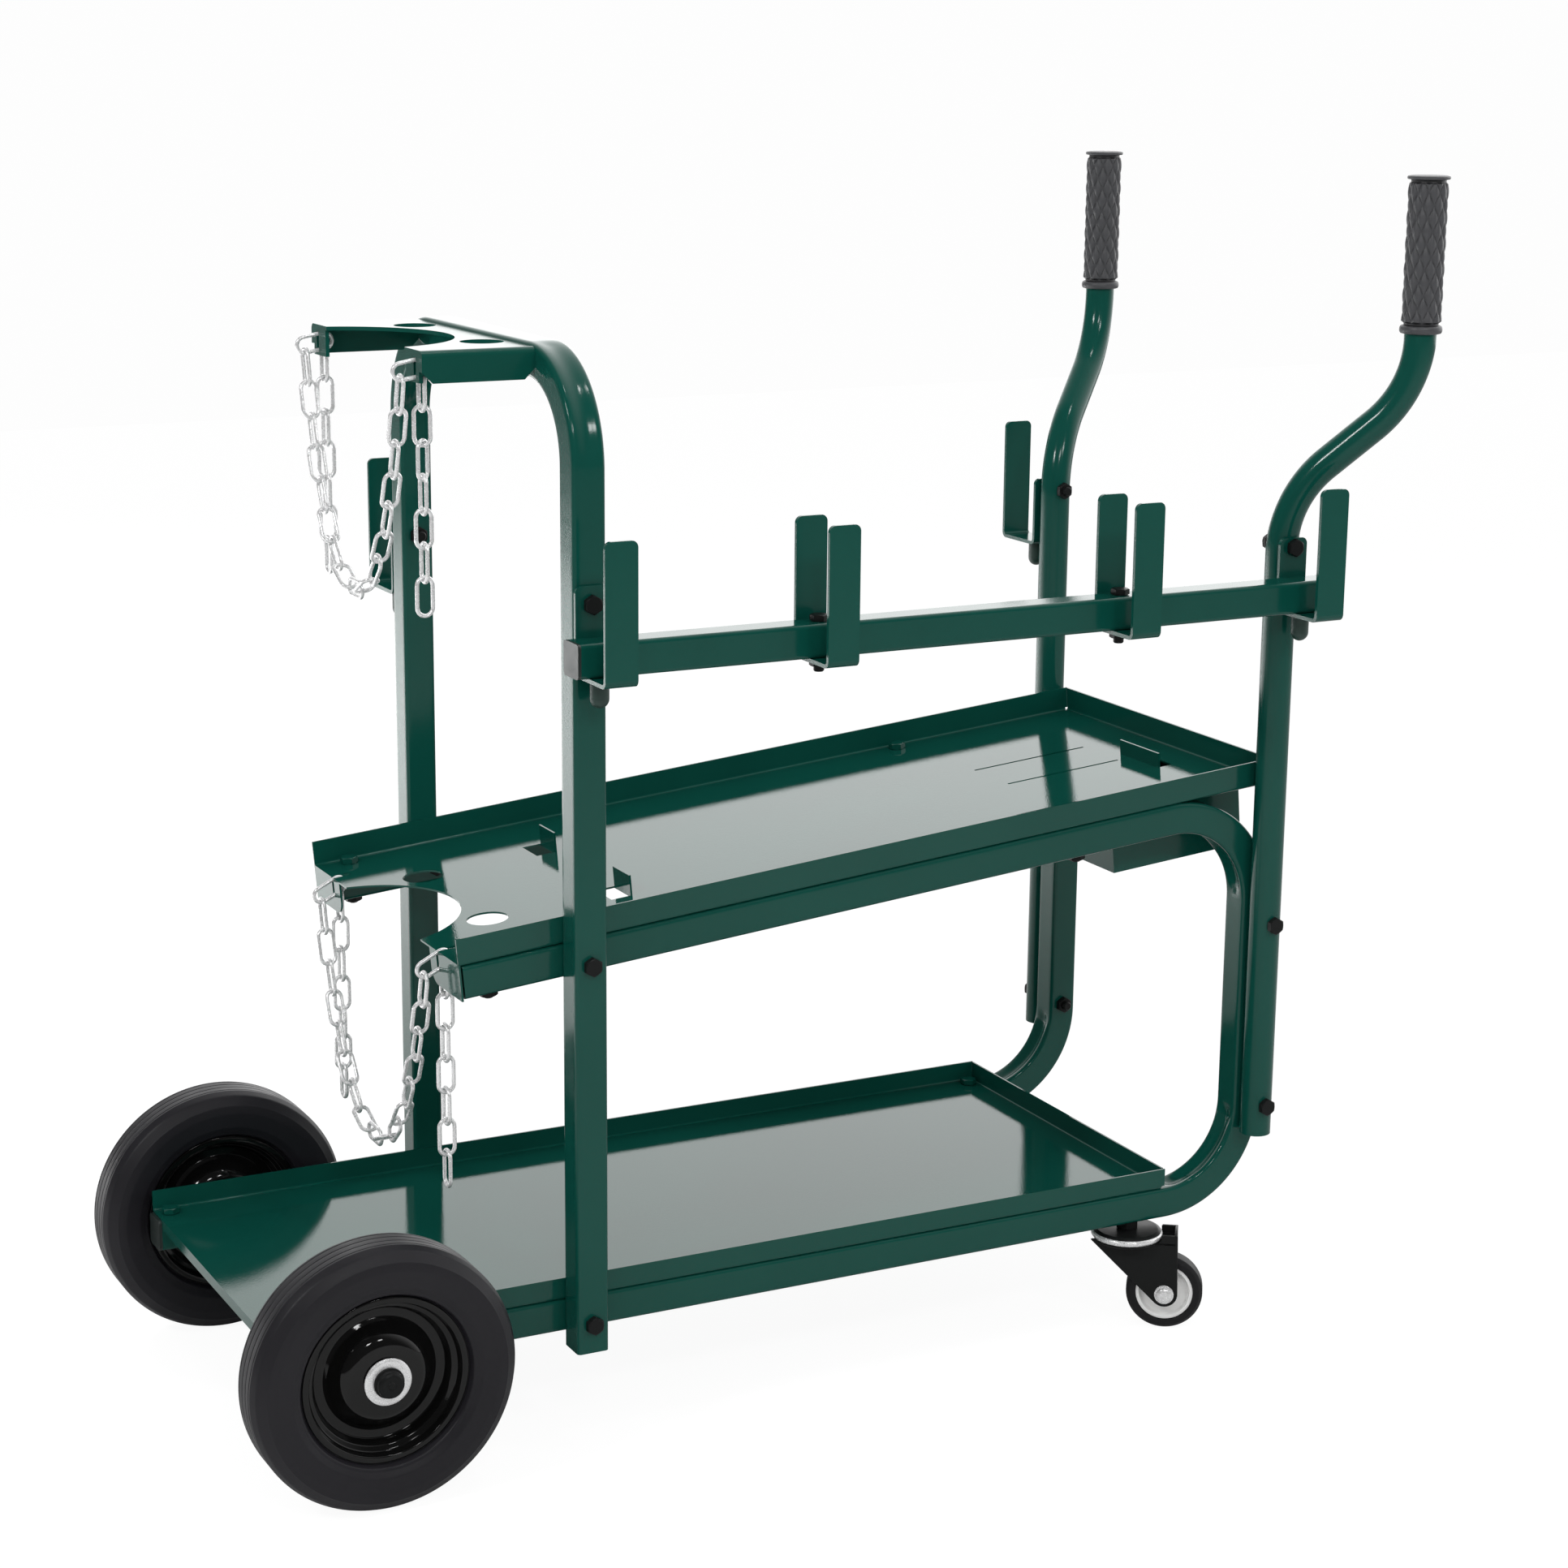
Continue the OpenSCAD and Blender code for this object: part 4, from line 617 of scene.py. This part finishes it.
def grip_grid(around=200, along=300):
    """Radius at turn t and height z: grooves along both diagonals leave diamonds, the
    rise being (|sin((n t + w) / 2)| |sin((n t - w) / 2)|) ^ sharpness with n diamonds
    round the grip and w = 2 pi z / pitch. A bead closes each end, with a plain neck
    beside it."""
    height = np.linspace(0, GRIP_LENGTH, along)[:, None]
    turn = round_angles(around)[None]
    wave = 2 * np.pi * height / DIAMOND_PITCH
    diamond = np.abs(np.sin((DIAMONDS_ROUND * turn + wave) / 2)
                     * np.sin((DIAMONDS_ROUND * turn - wave) / 2)) ** SHARPNESS
    from_top = GRIP_LENGTH - height
    inside = np.clip(np.minimum(height - BOTTOM_RING - RING_NECK,
                                from_top - TOP_RING - RING_NECK) / PATTERN_EASE, 0, 1)
    rise = GROOVE_FLOOR + (DIAMOND_RISE - GROOVE_FLOOR) * diamond
    radius = GRIP_RADIUS - DIAMOND_RISE + rise * inside
    bead_foot = GRIP_RADIUS - RING_NECK
    for from_end, size in ((height, BOTTOM_RING), (from_top, TOP_RING)):
        from_middle = (from_end - size / 2) / (size / 2)
        bead = np.clip(1 - from_middle ** 2, 0, 1) ** BEAD_ROUNDNESS
        ring = bead_foot + (GRIP_RING_RADIUS - bead_foot) * bead
        radius = np.where(from_end < size, ring + 0 * turn, radius)
    return np.stack([radius * np.cos(turn), radius * np.sin(turn),
                     height + 0 * turn], -1)


for side, sign in SIDES:
    grid = grip_grid()
    placed = in_cart(grip_x + grid[..., 0], sign * (grip_y + grid[..., 1]),
                     OVERALL_HEIGHT - GRIP_LENGTH + grid[..., 2])
    make_piece(f"{side}_knurled_grip", [grid_part(placed)], "frame", [f"{side}_grip"],
               smooth_under=50)

# %% [markdown]
# Everything on the axles is round, so it is turned on a lathe: a closed outline in
# radius and height goes round an axis. The outline is drawn by its corners, each with
# its own rounding, as a turner's drawing would be.

# %% Lathe
def rounded_outline(corners, arc_steps=5):
    """Closed outline whose corners (x, y, rounding) become arcs. The arc's centre lies on
    the corner's bisector at rounding over the sine of half the corner's angle."""
    outline = []
    for i, (x, y, rounding) in enumerate(corners):
        here = np.array([x, y], float)
        if rounding == 0:
            outline.append(here[None])
            continue
        before = np.array(corners[i - 1][:2]) - here
        after = np.array(corners[(i + 1) % len(corners)][:2]) - here
        before, after = (v / np.linalg.norm(v) for v in (before, after))
        half = math.acos(np.clip(before @ after, -1, 1)) / 2
        middle_way = (before + after) / np.linalg.norm(before + after)
        centre = here + middle_way * rounding / math.sin(half)
        first = here + before * rounding / math.tan(half) - centre
        last = here + after * rounding / math.tan(half) - centre
        opening, share = math.pi - 2 * half, np.linspace(0, 1, arc_steps)[:, None]
        outline.append(centre + (np.sin((1 - share) * opening) * first
                                 + np.sin(share * opening) * last) / math.sin(opening))
    return np.concatenate(outline)


def mirrored(upper):
    """Whole outline from the half above the middle plane, which runs anticlockwise from
    the bore outward seen with radius to the right and height up."""
    return [*upper, *[(x, -y, rounding) for x, y, rounding in reversed(upper)]]


def on_axle(outline, across, facing, sides):
    """Outline turned round the axle of the large wheels. across is where its height is
    zero, measured from the cart's middle plane, and facing is the side of its height."""
    turn = round_angles(sides)
    radius, height = outline[:, :1], facing * outline[:, 1:] + across
    return grid_part(in_cart(radius * np.cos(turn), height + 0 * turn,
                             radius * np.sin(turn) + WHEEL_RADIUS), wrap_rows=True)


# %% [markdown]
# The tyre is solid rubber. Its side bulges from a thin bead beside the rim to a shoulder
# line, and its tread has fine grooves all round.

# %% Tyres
SEAT, TYRE_HALF = 61.0, 24.5
GROOVE_DEPTH, GROOVE_HALF, GROOVES = 0.4, 0.6, (10.2, 3.6)


def tread_groove(height):
    """Corners of one groove in the tread, from its upper edge to its lower edge."""
    edge = WHEEL_RADIUS - 0.2
    return [(edge, height + GROOVE_HALF, 0.2), (edge - GROOVE_DEPTH, height + 0.2, 0.1),
            (edge - GROOVE_DEPTH, height - 0.2, 0.1), (edge, height - GROOVE_HALF, 0.2)]


tyre_half_outline = [(SEAT, 14.6, 0.6), (64.6, 15.2, 0.8), (66.2, 20.2, 2.0),
                     (68.6, 21.0, 0.6), (73.0, 23.4, 5.0), (85.0, TYRE_HALF, 10.0),
                     (91.6, 23.6, 1.0), (92.4, 22.9, 0.4), (98.6, 18.2, 5.0),
                     (WHEEL_RADIUS - 0.3, 12.6, 2.0),
                     *(corner for height in GROOVES for corner in tread_groove(height))]
tyre_outline = rounded_outline(mirrored(tyre_half_outline))[::-1]
for side, sign in SIDES:
    make_piece(f"{side}_rubber_tyre", [on_axle(tyre_outline, sign * TRACK_HALF, 1, 180)],
               f"{side}_wheel", [f"{side}_tyre"])

# %% [markdown]
# The rim is two pressed steel halves: a rolled lip, a bed for the tyre, a deep channel,
# and a bell that rises to the hub. Black gloss paint shows each of these curves by its
# reflection, so every corner is rounded.

# %% Rims
BORE, HUB_RADIUS, HUB_HALF = 8.01, 13.0, 18.5
rim_half_outline = [(BORE, HUB_HALF, 0), (HUB_RADIUS - 0.4, HUB_HALF, 0.3),
                    (HUB_RADIUS, HUB_HALF - 0.9, 0.3), (17.0, HUB_HALF - 1.1, 1.0),
                    (31.0, 15.6, 13.0), (40.5, 3.4, 4.0), (43.5, 1.2, 1.5),
                    (50.5, 1.2, 2.0), (53.0, 8.6, 2.2), (57.2, 10.4, 2.2),
                    (58.6, 16.6, 1.2), (61.5, 17.0, 0.8), (64.0, 16.6, 0.9),
                    (63.6, 15.3, 0.4), (SEAT, 14.7, 0.3)]
rim_outline = rounded_outline(mirrored(rim_half_outline), arc_steps=9)[::-1]
for side, sign in SIDES:
    make_piece(f"{side}_pressed_rim", [on_axle(rim_outline, sign * TRACK_HALF, 1, 144)],
               f"{side}_wheel", [f"{side}_rim"])

# %% [markdown]
# A plated washer lies on both sides of each hub, and a black push-on cap closes each end
# of the axle. All of them are turned like the rim.

# %% Washers and axle caps
AXLE_RADIUS, WASHER_RADIUS, WASHER_SHEET = 7.95, 18.0, 2.0
SIDE_PLAY, CAP_RADIUS, CAP_LENGTH = 0.3, 11.5, 8.0
TIP = 0.05  # radius of the small flat face that closes a shape on its own axis
hub_outer = TRACK_HALF + HUB_HALF + SIDE_PLAY
hub_inner = TRACK_HALF - HUB_HALF - SIDE_PLAY
washer_outline = rounded_outline([(AXLE_RADIUS, 0, 0), (AXLE_RADIUS, WASHER_SHEET, 0.3),
                                  (WASHER_RADIUS - 2, WASHER_SHEET, 1.0),
                                  (WASHER_RADIUS, WASHER_SHEET * 0.55, 0.5),
                                  (WASHER_RADIUS, 0, 0.2)])
cap_outline = rounded_outline([(TIP, 2, 0), (TIP, CAP_LENGTH, 0),
                               (2.2, CAP_LENGTH, 0.4), (3.0, CAP_LENGTH - 1.0, 0.4),
                               (7.6, CAP_LENGTH - 0.2, 1.6), (10.0, CAP_LENGTH - 2.0, 1.5),
                               (10.2, 2.2, 0.4), (CAP_RADIUS, 1.8, 0.4),
                               (CAP_RADIUS, 0.1, 0.3), (AXLE_RADIUS, 0.1, 0),
                               (AXLE_RADIUS, 2, 0)])
washers, caps = [], []
for _, sign in SIDES:
    for foot in (hub_outer, hub_inner - WASHER_SHEET):
        washers.append(on_axle(washer_outline, sign * foot, sign, 64))
    caps.append(on_axle(cap_outline, sign * (hub_outer + WASHER_SHEET), sign, 48))
make_piece("plated_washers", washers, "frame", ["axle_washers"])
make_piece("black_axle_caps", caps, "frame", ["axle_caps"])

# %% [markdown]
# The bolts are all the same black hexagon bolt with a nut. A real head has a turned
# bevel that cuts its corners to arcs, and a thin washer face below. The head is made as
# rings of points, hexagons up to the bevel and a circle above it.

# %% Bolt heads
BOLT_RADIUS, HEAD_ACROSS, HEAD_HEIGHT, CHAMFER = 4.0, 14.5, 5.0, 0.8
HEX_SIDES, BEVEL_START, BEVEL_SLOPE = 48, 0.94, 0.55


def level_ring(radius, height):
    """Ring of points (a, b, height). radius and height are one number, or one for each
    point of the ring."""
    turn = round_angles(HEX_SIDES)
    return np.stack([radius * np.cos(turn), radius * np.sin(turn), height + 0 * turn], -1)


def hexagon_rings(foot, top, across=HEAD_ACROSS):
    """Rings of a head from foot to top: a thin washer face, the flats, and a bevel that
    drops further out. The hexagon's edge is at the flat's distance over the cosine of
    the angle from its middle. across is the width over the corners."""
    flat = across / 2 * math.cos(math.pi / 6)
    turn, sixth = round_angles(HEX_SIDES), np.pi / 3
    edge = flat / np.cos((turn + sixth / 2) % sixth - sixth / 2)
    height = abs(top - foot)
    way = 1 if top > foot else -1
    washer_face = np.minimum(edge, flat * 0.98)
    bevel_drop = (edge - flat * BEVEL_START) * BEVEL_SLOPE
    rings = [level_ring(radius, foot + way * height * share) for radius, share in
             ((washer_face, 0.0), (washer_face, 0.12), (edge, 0.12), (edge, 0.62))]
    return rings + [level_ring(edge, foot + way * (height - bevel_drop)),
                    level_ring(flat * BEVEL_START, top), level_ring(TIP, top)]


# %% Bolts and screws
def bolt_parts(grip, tail, place):
    """Head below zero, shank up through the grip, and a nut past it with tail beyond.
    place turns points with height along the bolt into the cart's frame."""
    end = grip + HEAD_HEIGHT + tail
    head = [level_ring(TIP, 0), *hexagon_rings(0, -HEAD_HEIGHT)]
    nut = [level_ring(TIP, grip), *hexagon_rings(grip, grip + HEAD_HEIGHT)]
    shank = [level_ring(radius, height) for radius, height in
             ((TIP, 0), (BOLT_RADIUS, 0), (BOLT_RADIUS, end - CHAMFER),
              (BOLT_RADIUS - CHAMFER, end), (TIP, end))]
    return [grid_part(place(np.stack(rings))) for rings in (head, nut, shank)]


def screw_parts(length, place):
    """Hexagon head with a plain shank of the given length and no nut."""
    shank = [level_ring(radius, height) for radius, height in
             ((TIP, length), (BOLT_RADIUS - CHAMFER, length),
              (BOLT_RADIUS, length - CHAMFER), (BOLT_RADIUS, 0.0))]
    return [grid_part(place(np.stack(shank + hexagon_rings(0, -HEAD_HEIGHT)[1:])))]


# %% [markdown]
# The hoop, the handles and the hangers are bolted on from both sides. Each bolt is given
# by its place along the cart, where its head rests, its height and what it clamps.

# %% Bolts from the sides
def inward_bolt(reach, outer, height, sign):
    """Place of a bolt that enters from outside toward the middle plane."""
    return lambda grid: in_cart(reach + grid[..., 0], sign * (outer - grid[..., 2]),
                                height + grid[..., 1])


post_outer = FRAME_HALF + TUBE_SIDE
HANGER_SHEET, HOOK_RAIL_TOP, HANGER_BOLT_RISE = 3.0, 627.5, 51.5
HANDLE_BOLTS = (185.0, 340.0)
hanger_bolt_z = HOOK_RAIL_TOP - TUBE_SIDE - HANGER_SHEET + HANGER_BOLT_RISE
side_groups = {
    "hoop_bolts": [(HOOP_REACH, post_outer, z, 2 * TUBE_SIDE)
                   for z in (RAIL_HEIGHT, UPPER_RAIL_HEIGHT)],
    "handle_bolts": [(UPRIGHT_REACH, post_outer, z, TUBE_SIDE + 2 * HANDLE_RADIUS)
                     for z in HANDLE_BOLTS],
    "hanger_bolts": [(x, post_outer + HANGER_SHEET, hanger_bolt_z,
                      HANGER_SHEET + TUBE_SIDE) for x in (HOOP_REACH, UPRIGHT_REACH)]}
for node, bolts in side_groups.items():
    parts = []
    for reach, outer, height, grip in bolts:
        for _, sign in SIDES:
            parts += bolt_parts(grip, BOLT_RADIUS, inward_bolt(reach, outer, height, sign))
    make_piece(f"bevelled_{node}", parts, "frame", [node], smooth_under=25)

# %% [markdown]
# Other bolts stand on the hook rail and the trays, and those of the upper tray lean with
# it. The heads on the trays look painted over, so they are pieces of their own.

# %% Bolts from above
HOOK_RAIL_BOLTS, BOX_REACH, TRAY_BOLT_TAIL = (348.0, 608.0), 489.0, 1.5
SCREW_INSET, LOWER_TRAY_REACH, SCREW_LENGTH = 11.0, 699.0, 14.0


def downward_bolt(along, y, top, slope=0.0):
    """Place of a bolt whose head stands on a face. On a sloped face along and top start
    at the hoop's centre on the upper rail's line, else at the axle and the ground."""
    def place(grid):
        one, up = along + grid[..., 0], top - grid[..., 2]
        x = one * math.cos(slope) - up * math.sin(slope)
        z = one * math.sin(slope) + up * math.cos(slope)
        if slope:
            x, z = x + HOOP_REACH, z + UPPER_RAIL_HEIGHT
        return in_cart(x, y + grid[..., 1], z)
    return place


rail_line_y = post_outer + HANGER_SHEET + HALF_TUBE
front_bolt = (UPPER_FRONT - HOOP_REACH) / math.cos(TRAY_SLOPE) + TUBE_SIDE
rear_bolt = BOX_REACH - 2 * TUBE_SIDE
rail_bolts = [part for reach in HOOK_RAIL_BOLTS for part in bolt_parts(
    HANGER_SHEET + TUBE_SIDE, BOLT_RADIUS,
    downward_bolt(reach, -rail_line_y, HOOK_RAIL_TOP))]
tray_bolts = [bolt_parts(TUBE_SIDE + TRAY_SHEET, TRAY_BOLT_TAIL, downward_bolt(
    along, sign * rail_y, HALF_TUBE + TRAY_SHEET, TRAY_SLOPE))
    for _, sign in SIDES for along in (front_bolt, rear_bolt)]
tray_screws = [part for _, sign in SIDES
               for reach in (RAIL_FRONT + SCREW_INSET, LOWER_TRAY_REACH - SCREW_INSET)
               for part in screw_parts(SCREW_LENGTH, downward_bolt(
                   reach, sign * rail_y, RAIL_HEIGHT + HALF_TUBE + TRAY_SHEET))]
tray_heads, tray_nuts, tray_shanks = zip(*tray_bolts)
for name, parts, nodes, slot_name in (
        ("bevelled_hook_rail_bolts", rail_bolts, ["hook_rail_bolts"], None),
        ("bevelled_upper_tray_bolts", tray_nuts + tray_shanks, ["upper_tray_bolts"], None),
        ("painted_tray_bolt_heads", tray_heads, [], "tray_paint"),
        ("painted_lower_tray_screws", tray_screws, ["lower_tray_screws"], "tray_paint")):
    make_piece(name, parts, "frame", nodes, smooth_under=25, slot_name=slot_name)

# %% [markdown]
# A caster is a fork of pressed plate under a ball race, with a wheel in it. Each part is
# drawn in the caster's own directions, along its trail, across it and up, and then turned
# about the stem to where it stands. That way both casters share every formula.

# %% Caster sizes and directions
CASTER_REACH, CASTER_TURN, TRAIL, CASTER_RADIUS = 672.0, math.radians(35), 32.5, 31.75
RACE_RADIUS, RACE_BOTTOM, RACE_HEIGHT = 29.5, 77.0, 7.0
CROWN_TOP, YOKE_SHEET, YOKE_INNER, YOKE_OUTER = 76.7, 2.5, 11.2, 13.7
YOKE_CROWN, YOKE_BACK, YOKE_END, BACK_PLATE = 27.0, 42.0, 11.0, 22.0
SHOULDER_FRONT, SHOULDER_TOP = 28.5, 83.0
STEM_RADIUS, STEM_HOLE = 5.0, 5.06
WHEEL_HALF, CASTER_RING, CASTER_HUB, CASTER_BORE = 10.0, 23.5, 9.0, 4.06
RAIL_BOTTOM = RAIL_HEIGHT - HALF_TUBE


def at_caster(sign):
    """Turns points (trail, across, up) in millimetres into the cart's frame."""
    turn = sign * CASTER_TURN

    def convert(grid):
        trail, across, height = grid[..., 0], grid[..., 1], grid[..., 2]
        x = CASTER_REACH + trail * math.cos(turn) - across * math.sin(turn)
        y = sign * rail_y + trail * math.sin(turn) + across * math.cos(turn)
        return in_cart(x, y, height)
    return convert


def lathe_rings(outline, place, sides=96):
    """Rings of an outline (radius, height) turned round an axis. place turns arrays of
    (cosine side, sine side, height) into the piece's own directions."""
    turn = round_angles(sides)
    radius, height = outline[:, :1], outline[:, 1:]
    return place(radius * np.cos(turn), radius * np.sin(turn), height + 0 * turn)


def on_stem(one, two, height):
    """Directions of a part turned round the stem."""
    return np.stack([one, two, height], -1)


def on_caster_axle(one, two, height):
    """Directions of a part turned round the axle of the small wheel."""
    return np.stack([TRAIL + one, height, CASTER_RADIUS + two], -1)


print("casters", CASTER_REACH, "mm behind the axle, turned by",
      round(math.degrees(CASTER_TURN)), "degrees")

# %% [markdown]
# The fork is a round crown with two legs and a plate across their back. A plate is an
# outline with bevelled edges: four rings, the outer two drawn in by the bevel. Each leg
# narrows to a round end, so the outline has to touch the circle about the axle.

# %% Plates with bevelled edges
EDGE_BEVEL = 0.4


def drawn_in(outline, width):
    """Outline moved inward by width along the bisector at each of its points. It runs
    anticlockwise."""
    before, after = np.roll(outline, 1, axis=0), np.roll(outline, -1, axis=0)
    one, two = outline - before, after - outline
    one, two = (v / np.linalg.norm(v, axis=1, keepdims=True) for v in (one, two))
    bisector = np.stack([-(one + two)[:, 1], (one + two)[:, 0]], -1)
    square = np.maximum((bisector ** 2).sum(1, keepdims=True), 0.4)
    return outline + 2 * width * bisector / square


def plate(outline, low, high):
    """Rings of points (a, b, level) of a flat plate between two levels."""
    rings = [(drawn_in(outline, EDGE_BEVEL), low), (outline, low + EDGE_BEVEL),
             (outline, high - EDGE_BEVEL), (drawn_in(outline, EDGE_BEVEL), high)]
    return np.stack([np.column_stack([points, np.full(len(points), level)])
                     for points, level in rings])


# %% Fork legs
def touch_angle(start, centre, radius, side):
    """Angle on a circle where the line from start touches it."""
    gap = np.array(centre) - start
    return math.atan2(gap[1], gap[0]) - side * (
        math.asin(radius / np.linalg.norm(gap)) + math.pi / 2)


def leg_outline():
    """Outline of a fork leg, anticlockwise from its front top corner: down the slanted
    edge, round the axle, up the straight back edge and over a shoulder beside the race."""
    centre = np.array([TRAIL, CASTER_RADIUS])
    front, back = np.array([-RACE_RADIUS, CROWN_TOP]), np.array([YOKE_BACK, CROWN_TOP])
    first = touch_angle(front, centre, YOKE_END, 1)
    last = touch_angle(back, centre, YOKE_END, -1)
    first = first + 2 * math.pi * (first < 0)
    last = last + 2 * math.pi * math.ceil((first - last) / (2 * math.pi))
    turn = np.linspace(first, last, 28)[:, None]
    arc = centre + YOKE_END * np.concatenate([np.cos(turn), np.sin(turn)], 1)
    shoulder = [(YOKE_BACK, SHOULDER_TOP - 2), (YOKE_BACK - 2, SHOULDER_TOP),
                (SHOULDER_FRONT + 1, SHOULDER_TOP), (SHOULDER_FRONT, SHOULDER_TOP - 1),
                (SHOULDER_FRONT, CROWN_TOP + 1), (SHOULDER_FRONT - 1, CROWN_TOP)]
    return np.concatenate([[front + (2, 0), front + (0.4, -0.5)], arc, [back], shoulder])


print("fork leg of", len(leg_outline()), "points")


# %% Crown and back plate
def crown_rings(count=96):
    """Crown plate round the stem hole, as far out at each angle as the disc or the back
    part between the legs reaches."""
    turn = round_angles(count)
    cos, sin = np.cos(turn), np.sin(turn)
    back = np.minimum(YOKE_BACK / np.maximum(cos, 1e-6),
                      YOKE_OUTER / np.maximum(np.abs(sin), 1e-6)) * (cos > 0)
    reach, hole = np.maximum(YOKE_CROWN, back), np.full(count, STEM_HOLE)
    rows = [(hole, 0), (reach - EDGE_BEVEL, 0), (reach, EDGE_BEVEL),
            (reach, YOKE_SHEET - EDGE_BEVEL), (reach - EDGE_BEVEL, YOKE_SHEET),
            (hole, YOKE_SHEET)]
    bottom = CROWN_TOP - YOKE_SHEET
    return np.stack([on_stem(radius * cos, radius * sin, np.full(count, bottom + level))
                     for radius, level in rows])


def fork_parts(placed):
    """Crown, two legs and back plate of one fork."""
    parts = [grid_part(placed(crown_rings()), wrap_rows=True)]
    for level in (-YOKE_OUTER, YOKE_INNER):
        rings = plate(leg_outline(), level, level + YOKE_SHEET)
        parts.append(grid_part(placed(rings[..., [0, 2, 1]])))
    half, foot = YOKE_OUTER - 0.01, CROWN_TOP - BACK_PLATE / 2
    outline = rounded_outline([(-half, foot, 1), (half, foot, 1),
                               (half, SHOULDER_TOP, 0.3), (-half, SHOULDER_TOP, 0.3)])
    rings = plate(outline, YOKE_BACK - YOKE_SHEET, YOKE_BACK)
    return [*parts, grid_part(placed(rings[..., [2, 0, 1]]))]


print("fork of", len(fork_parts(at_caster(1))), "parts")

# %% [markdown]
# A rod with two domed nuts runs through each fork. The small wheel on it has a light
# core with a thin web and a dark tread. All are round, so they are outlines again.

# %% Caster wheels
ROD_RADIUS = 4
nut_outline = rounded_outline([
    (TIP, YOKE_OUTER, 0), (8, YOKE_OUTER, 0.1), (8, YOKE_OUTER + 1.6, 0.5),
    (6.6, YOKE_OUTER + 1.9, 0.3), (6.3, YOKE_OUTER + 4.6, 1.2),
    (4.2, YOKE_OUTER + 5.6, 1.0), (TIP, YOKE_OUTER + 6.2, 0)])
rod_outline = rounded_outline([(TIP, -YOKE_OUTER, 0), (ROD_RADIUS, -YOKE_OUTER, 0),
                               (ROD_RADIUS, YOKE_OUTER, 0), (TIP, YOKE_OUTER, 0)])
tread_half = [(CASTER_RING, WHEEL_HALF - 1.2, 0.3), (CASTER_RING + 1, WHEEL_HALF, 0.6),
              (28.4, WHEEL_HALF, 2.0), (CASTER_RADIUS - 0.3, WHEEL_HALF - 3.4, 2.0)]
core_half = [(CASTER_BORE, YOKE_INNER - 0.3, 0), (6.6, YOKE_INNER - 0.3, 0.4),
             (CASTER_HUB, 8.6, 1.0), (CASTER_HUB + 1.2, 3.2, 1.2), (20.0, 3.0, 1.2),
             (20.6, WHEEL_HALF - 1.4, 0.6), (CASTER_RING - 0.02, WHEEL_HALF - 1.6, 0.4)]
for side, sign in SIDES:
    placed = at_caster(sign)
    make_piece(f"{side}_pressed_fork", fork_parts(placed), f"{side}_swivel",
               [f"{side}_yoke"])
    ends = [grid_part(placed(lathe_rings(nut_outline * (1, way), on_caster_axle, 40)))
            for way in (-1, 1)]
    ends.append(grid_part(placed(lathe_rings(rod_outline, on_caster_axle, 24))))
    make_piece(f"{side}_domed_axle_nuts", ends, f"{side}_swivel", [f"{side}_caster_bolt"])
    for name, half in (("caster_tread", tread_half), ("caster_core", core_half)):
        rings = lathe_rings(rounded_outline(mirrored(half)), on_caster_axle)
        make_piece(f"{side}_turned_{name}", [grid_part(placed(rings), wrap_rows=True)],
                   f"{side}_caster", [f"{side}_{name}"])

# %% [markdown]
# Between fork and rail sit a plated ball race and the stem with its dish, its hexagon
# and its nut. The balls can't be seen, so the race is one ring.

# %% Ball races and stems
DISH, DISH_BOTTOM = RACE_BOTTOM + RACE_HEIGHT, 81.4
HEAD_RADIUS, HEAD_BOTTOM, HEAD_TOP, STEM_TOP = 7.5, 71.4, 73.9, 100.6
race_outline = rounded_outline([
    (26.6, RACE_BOTTOM, 0.2), (28.4, RACE_BOTTOM, 0.9), (RACE_RADIUS, 78.6, 0.9),
    (RACE_RADIUS, 80.4, 0.9), (28.4, 81.8, 0.9), (26.6, 81.8, 0.2)])
stem_outline = rounded_outline([
    (TIP, HEAD_BOTTOM, 0), (HEAD_RADIUS, HEAD_BOTTOM, 0.4), (HEAD_RADIUS, HEAD_TOP, 0.4),
    (STEM_RADIUS, HEAD_TOP, 0), (STEM_RADIUS, RACE_BOTTOM, 0),
    (HEAD_RADIUS, RACE_BOTTOM, 0.2), (HEAD_RADIUS, DISH_BOTTOM, 0),
    (28.0, DISH_BOTTOM, 0.4), (28.2, 82.3, 0.6), (25.4, DISH - 0.3, 1.6),
    (11.0, DISH, 1.0), (STEM_RADIUS, DISH, 0), (STEM_RADIUS, STEM_TOP, 0),
    (TIP, STEM_TOP, 0)])
nut_bottom = RAIL_BOTTOM + TUBE_WALL
races, stems = [], []
for _, sign in SIDES:
    placed = at_caster(sign)
    races.append(grid_part(placed(lathe_rings(race_outline, on_stem)), wrap_rows=True))
    stems.append(grid_part(placed(lathe_rings(stem_outline, on_stem))))
    for low, high, across in ((DISH, RAIL_BOTTOM, HEAD_ACROSS + 5),
                              (nut_bottom, nut_bottom + HEAD_HEIGHT, HEAD_ACROSS)):
        stems.append(grid_part(placed(np.stack(hexagon_rings(low, high, across)))))
make_piece("plated_ball_races", races, "frame", ["caster_raceways"])
make_piece("dished_stems", stems, "frame", ["caster_stems"], smooth_under=25)
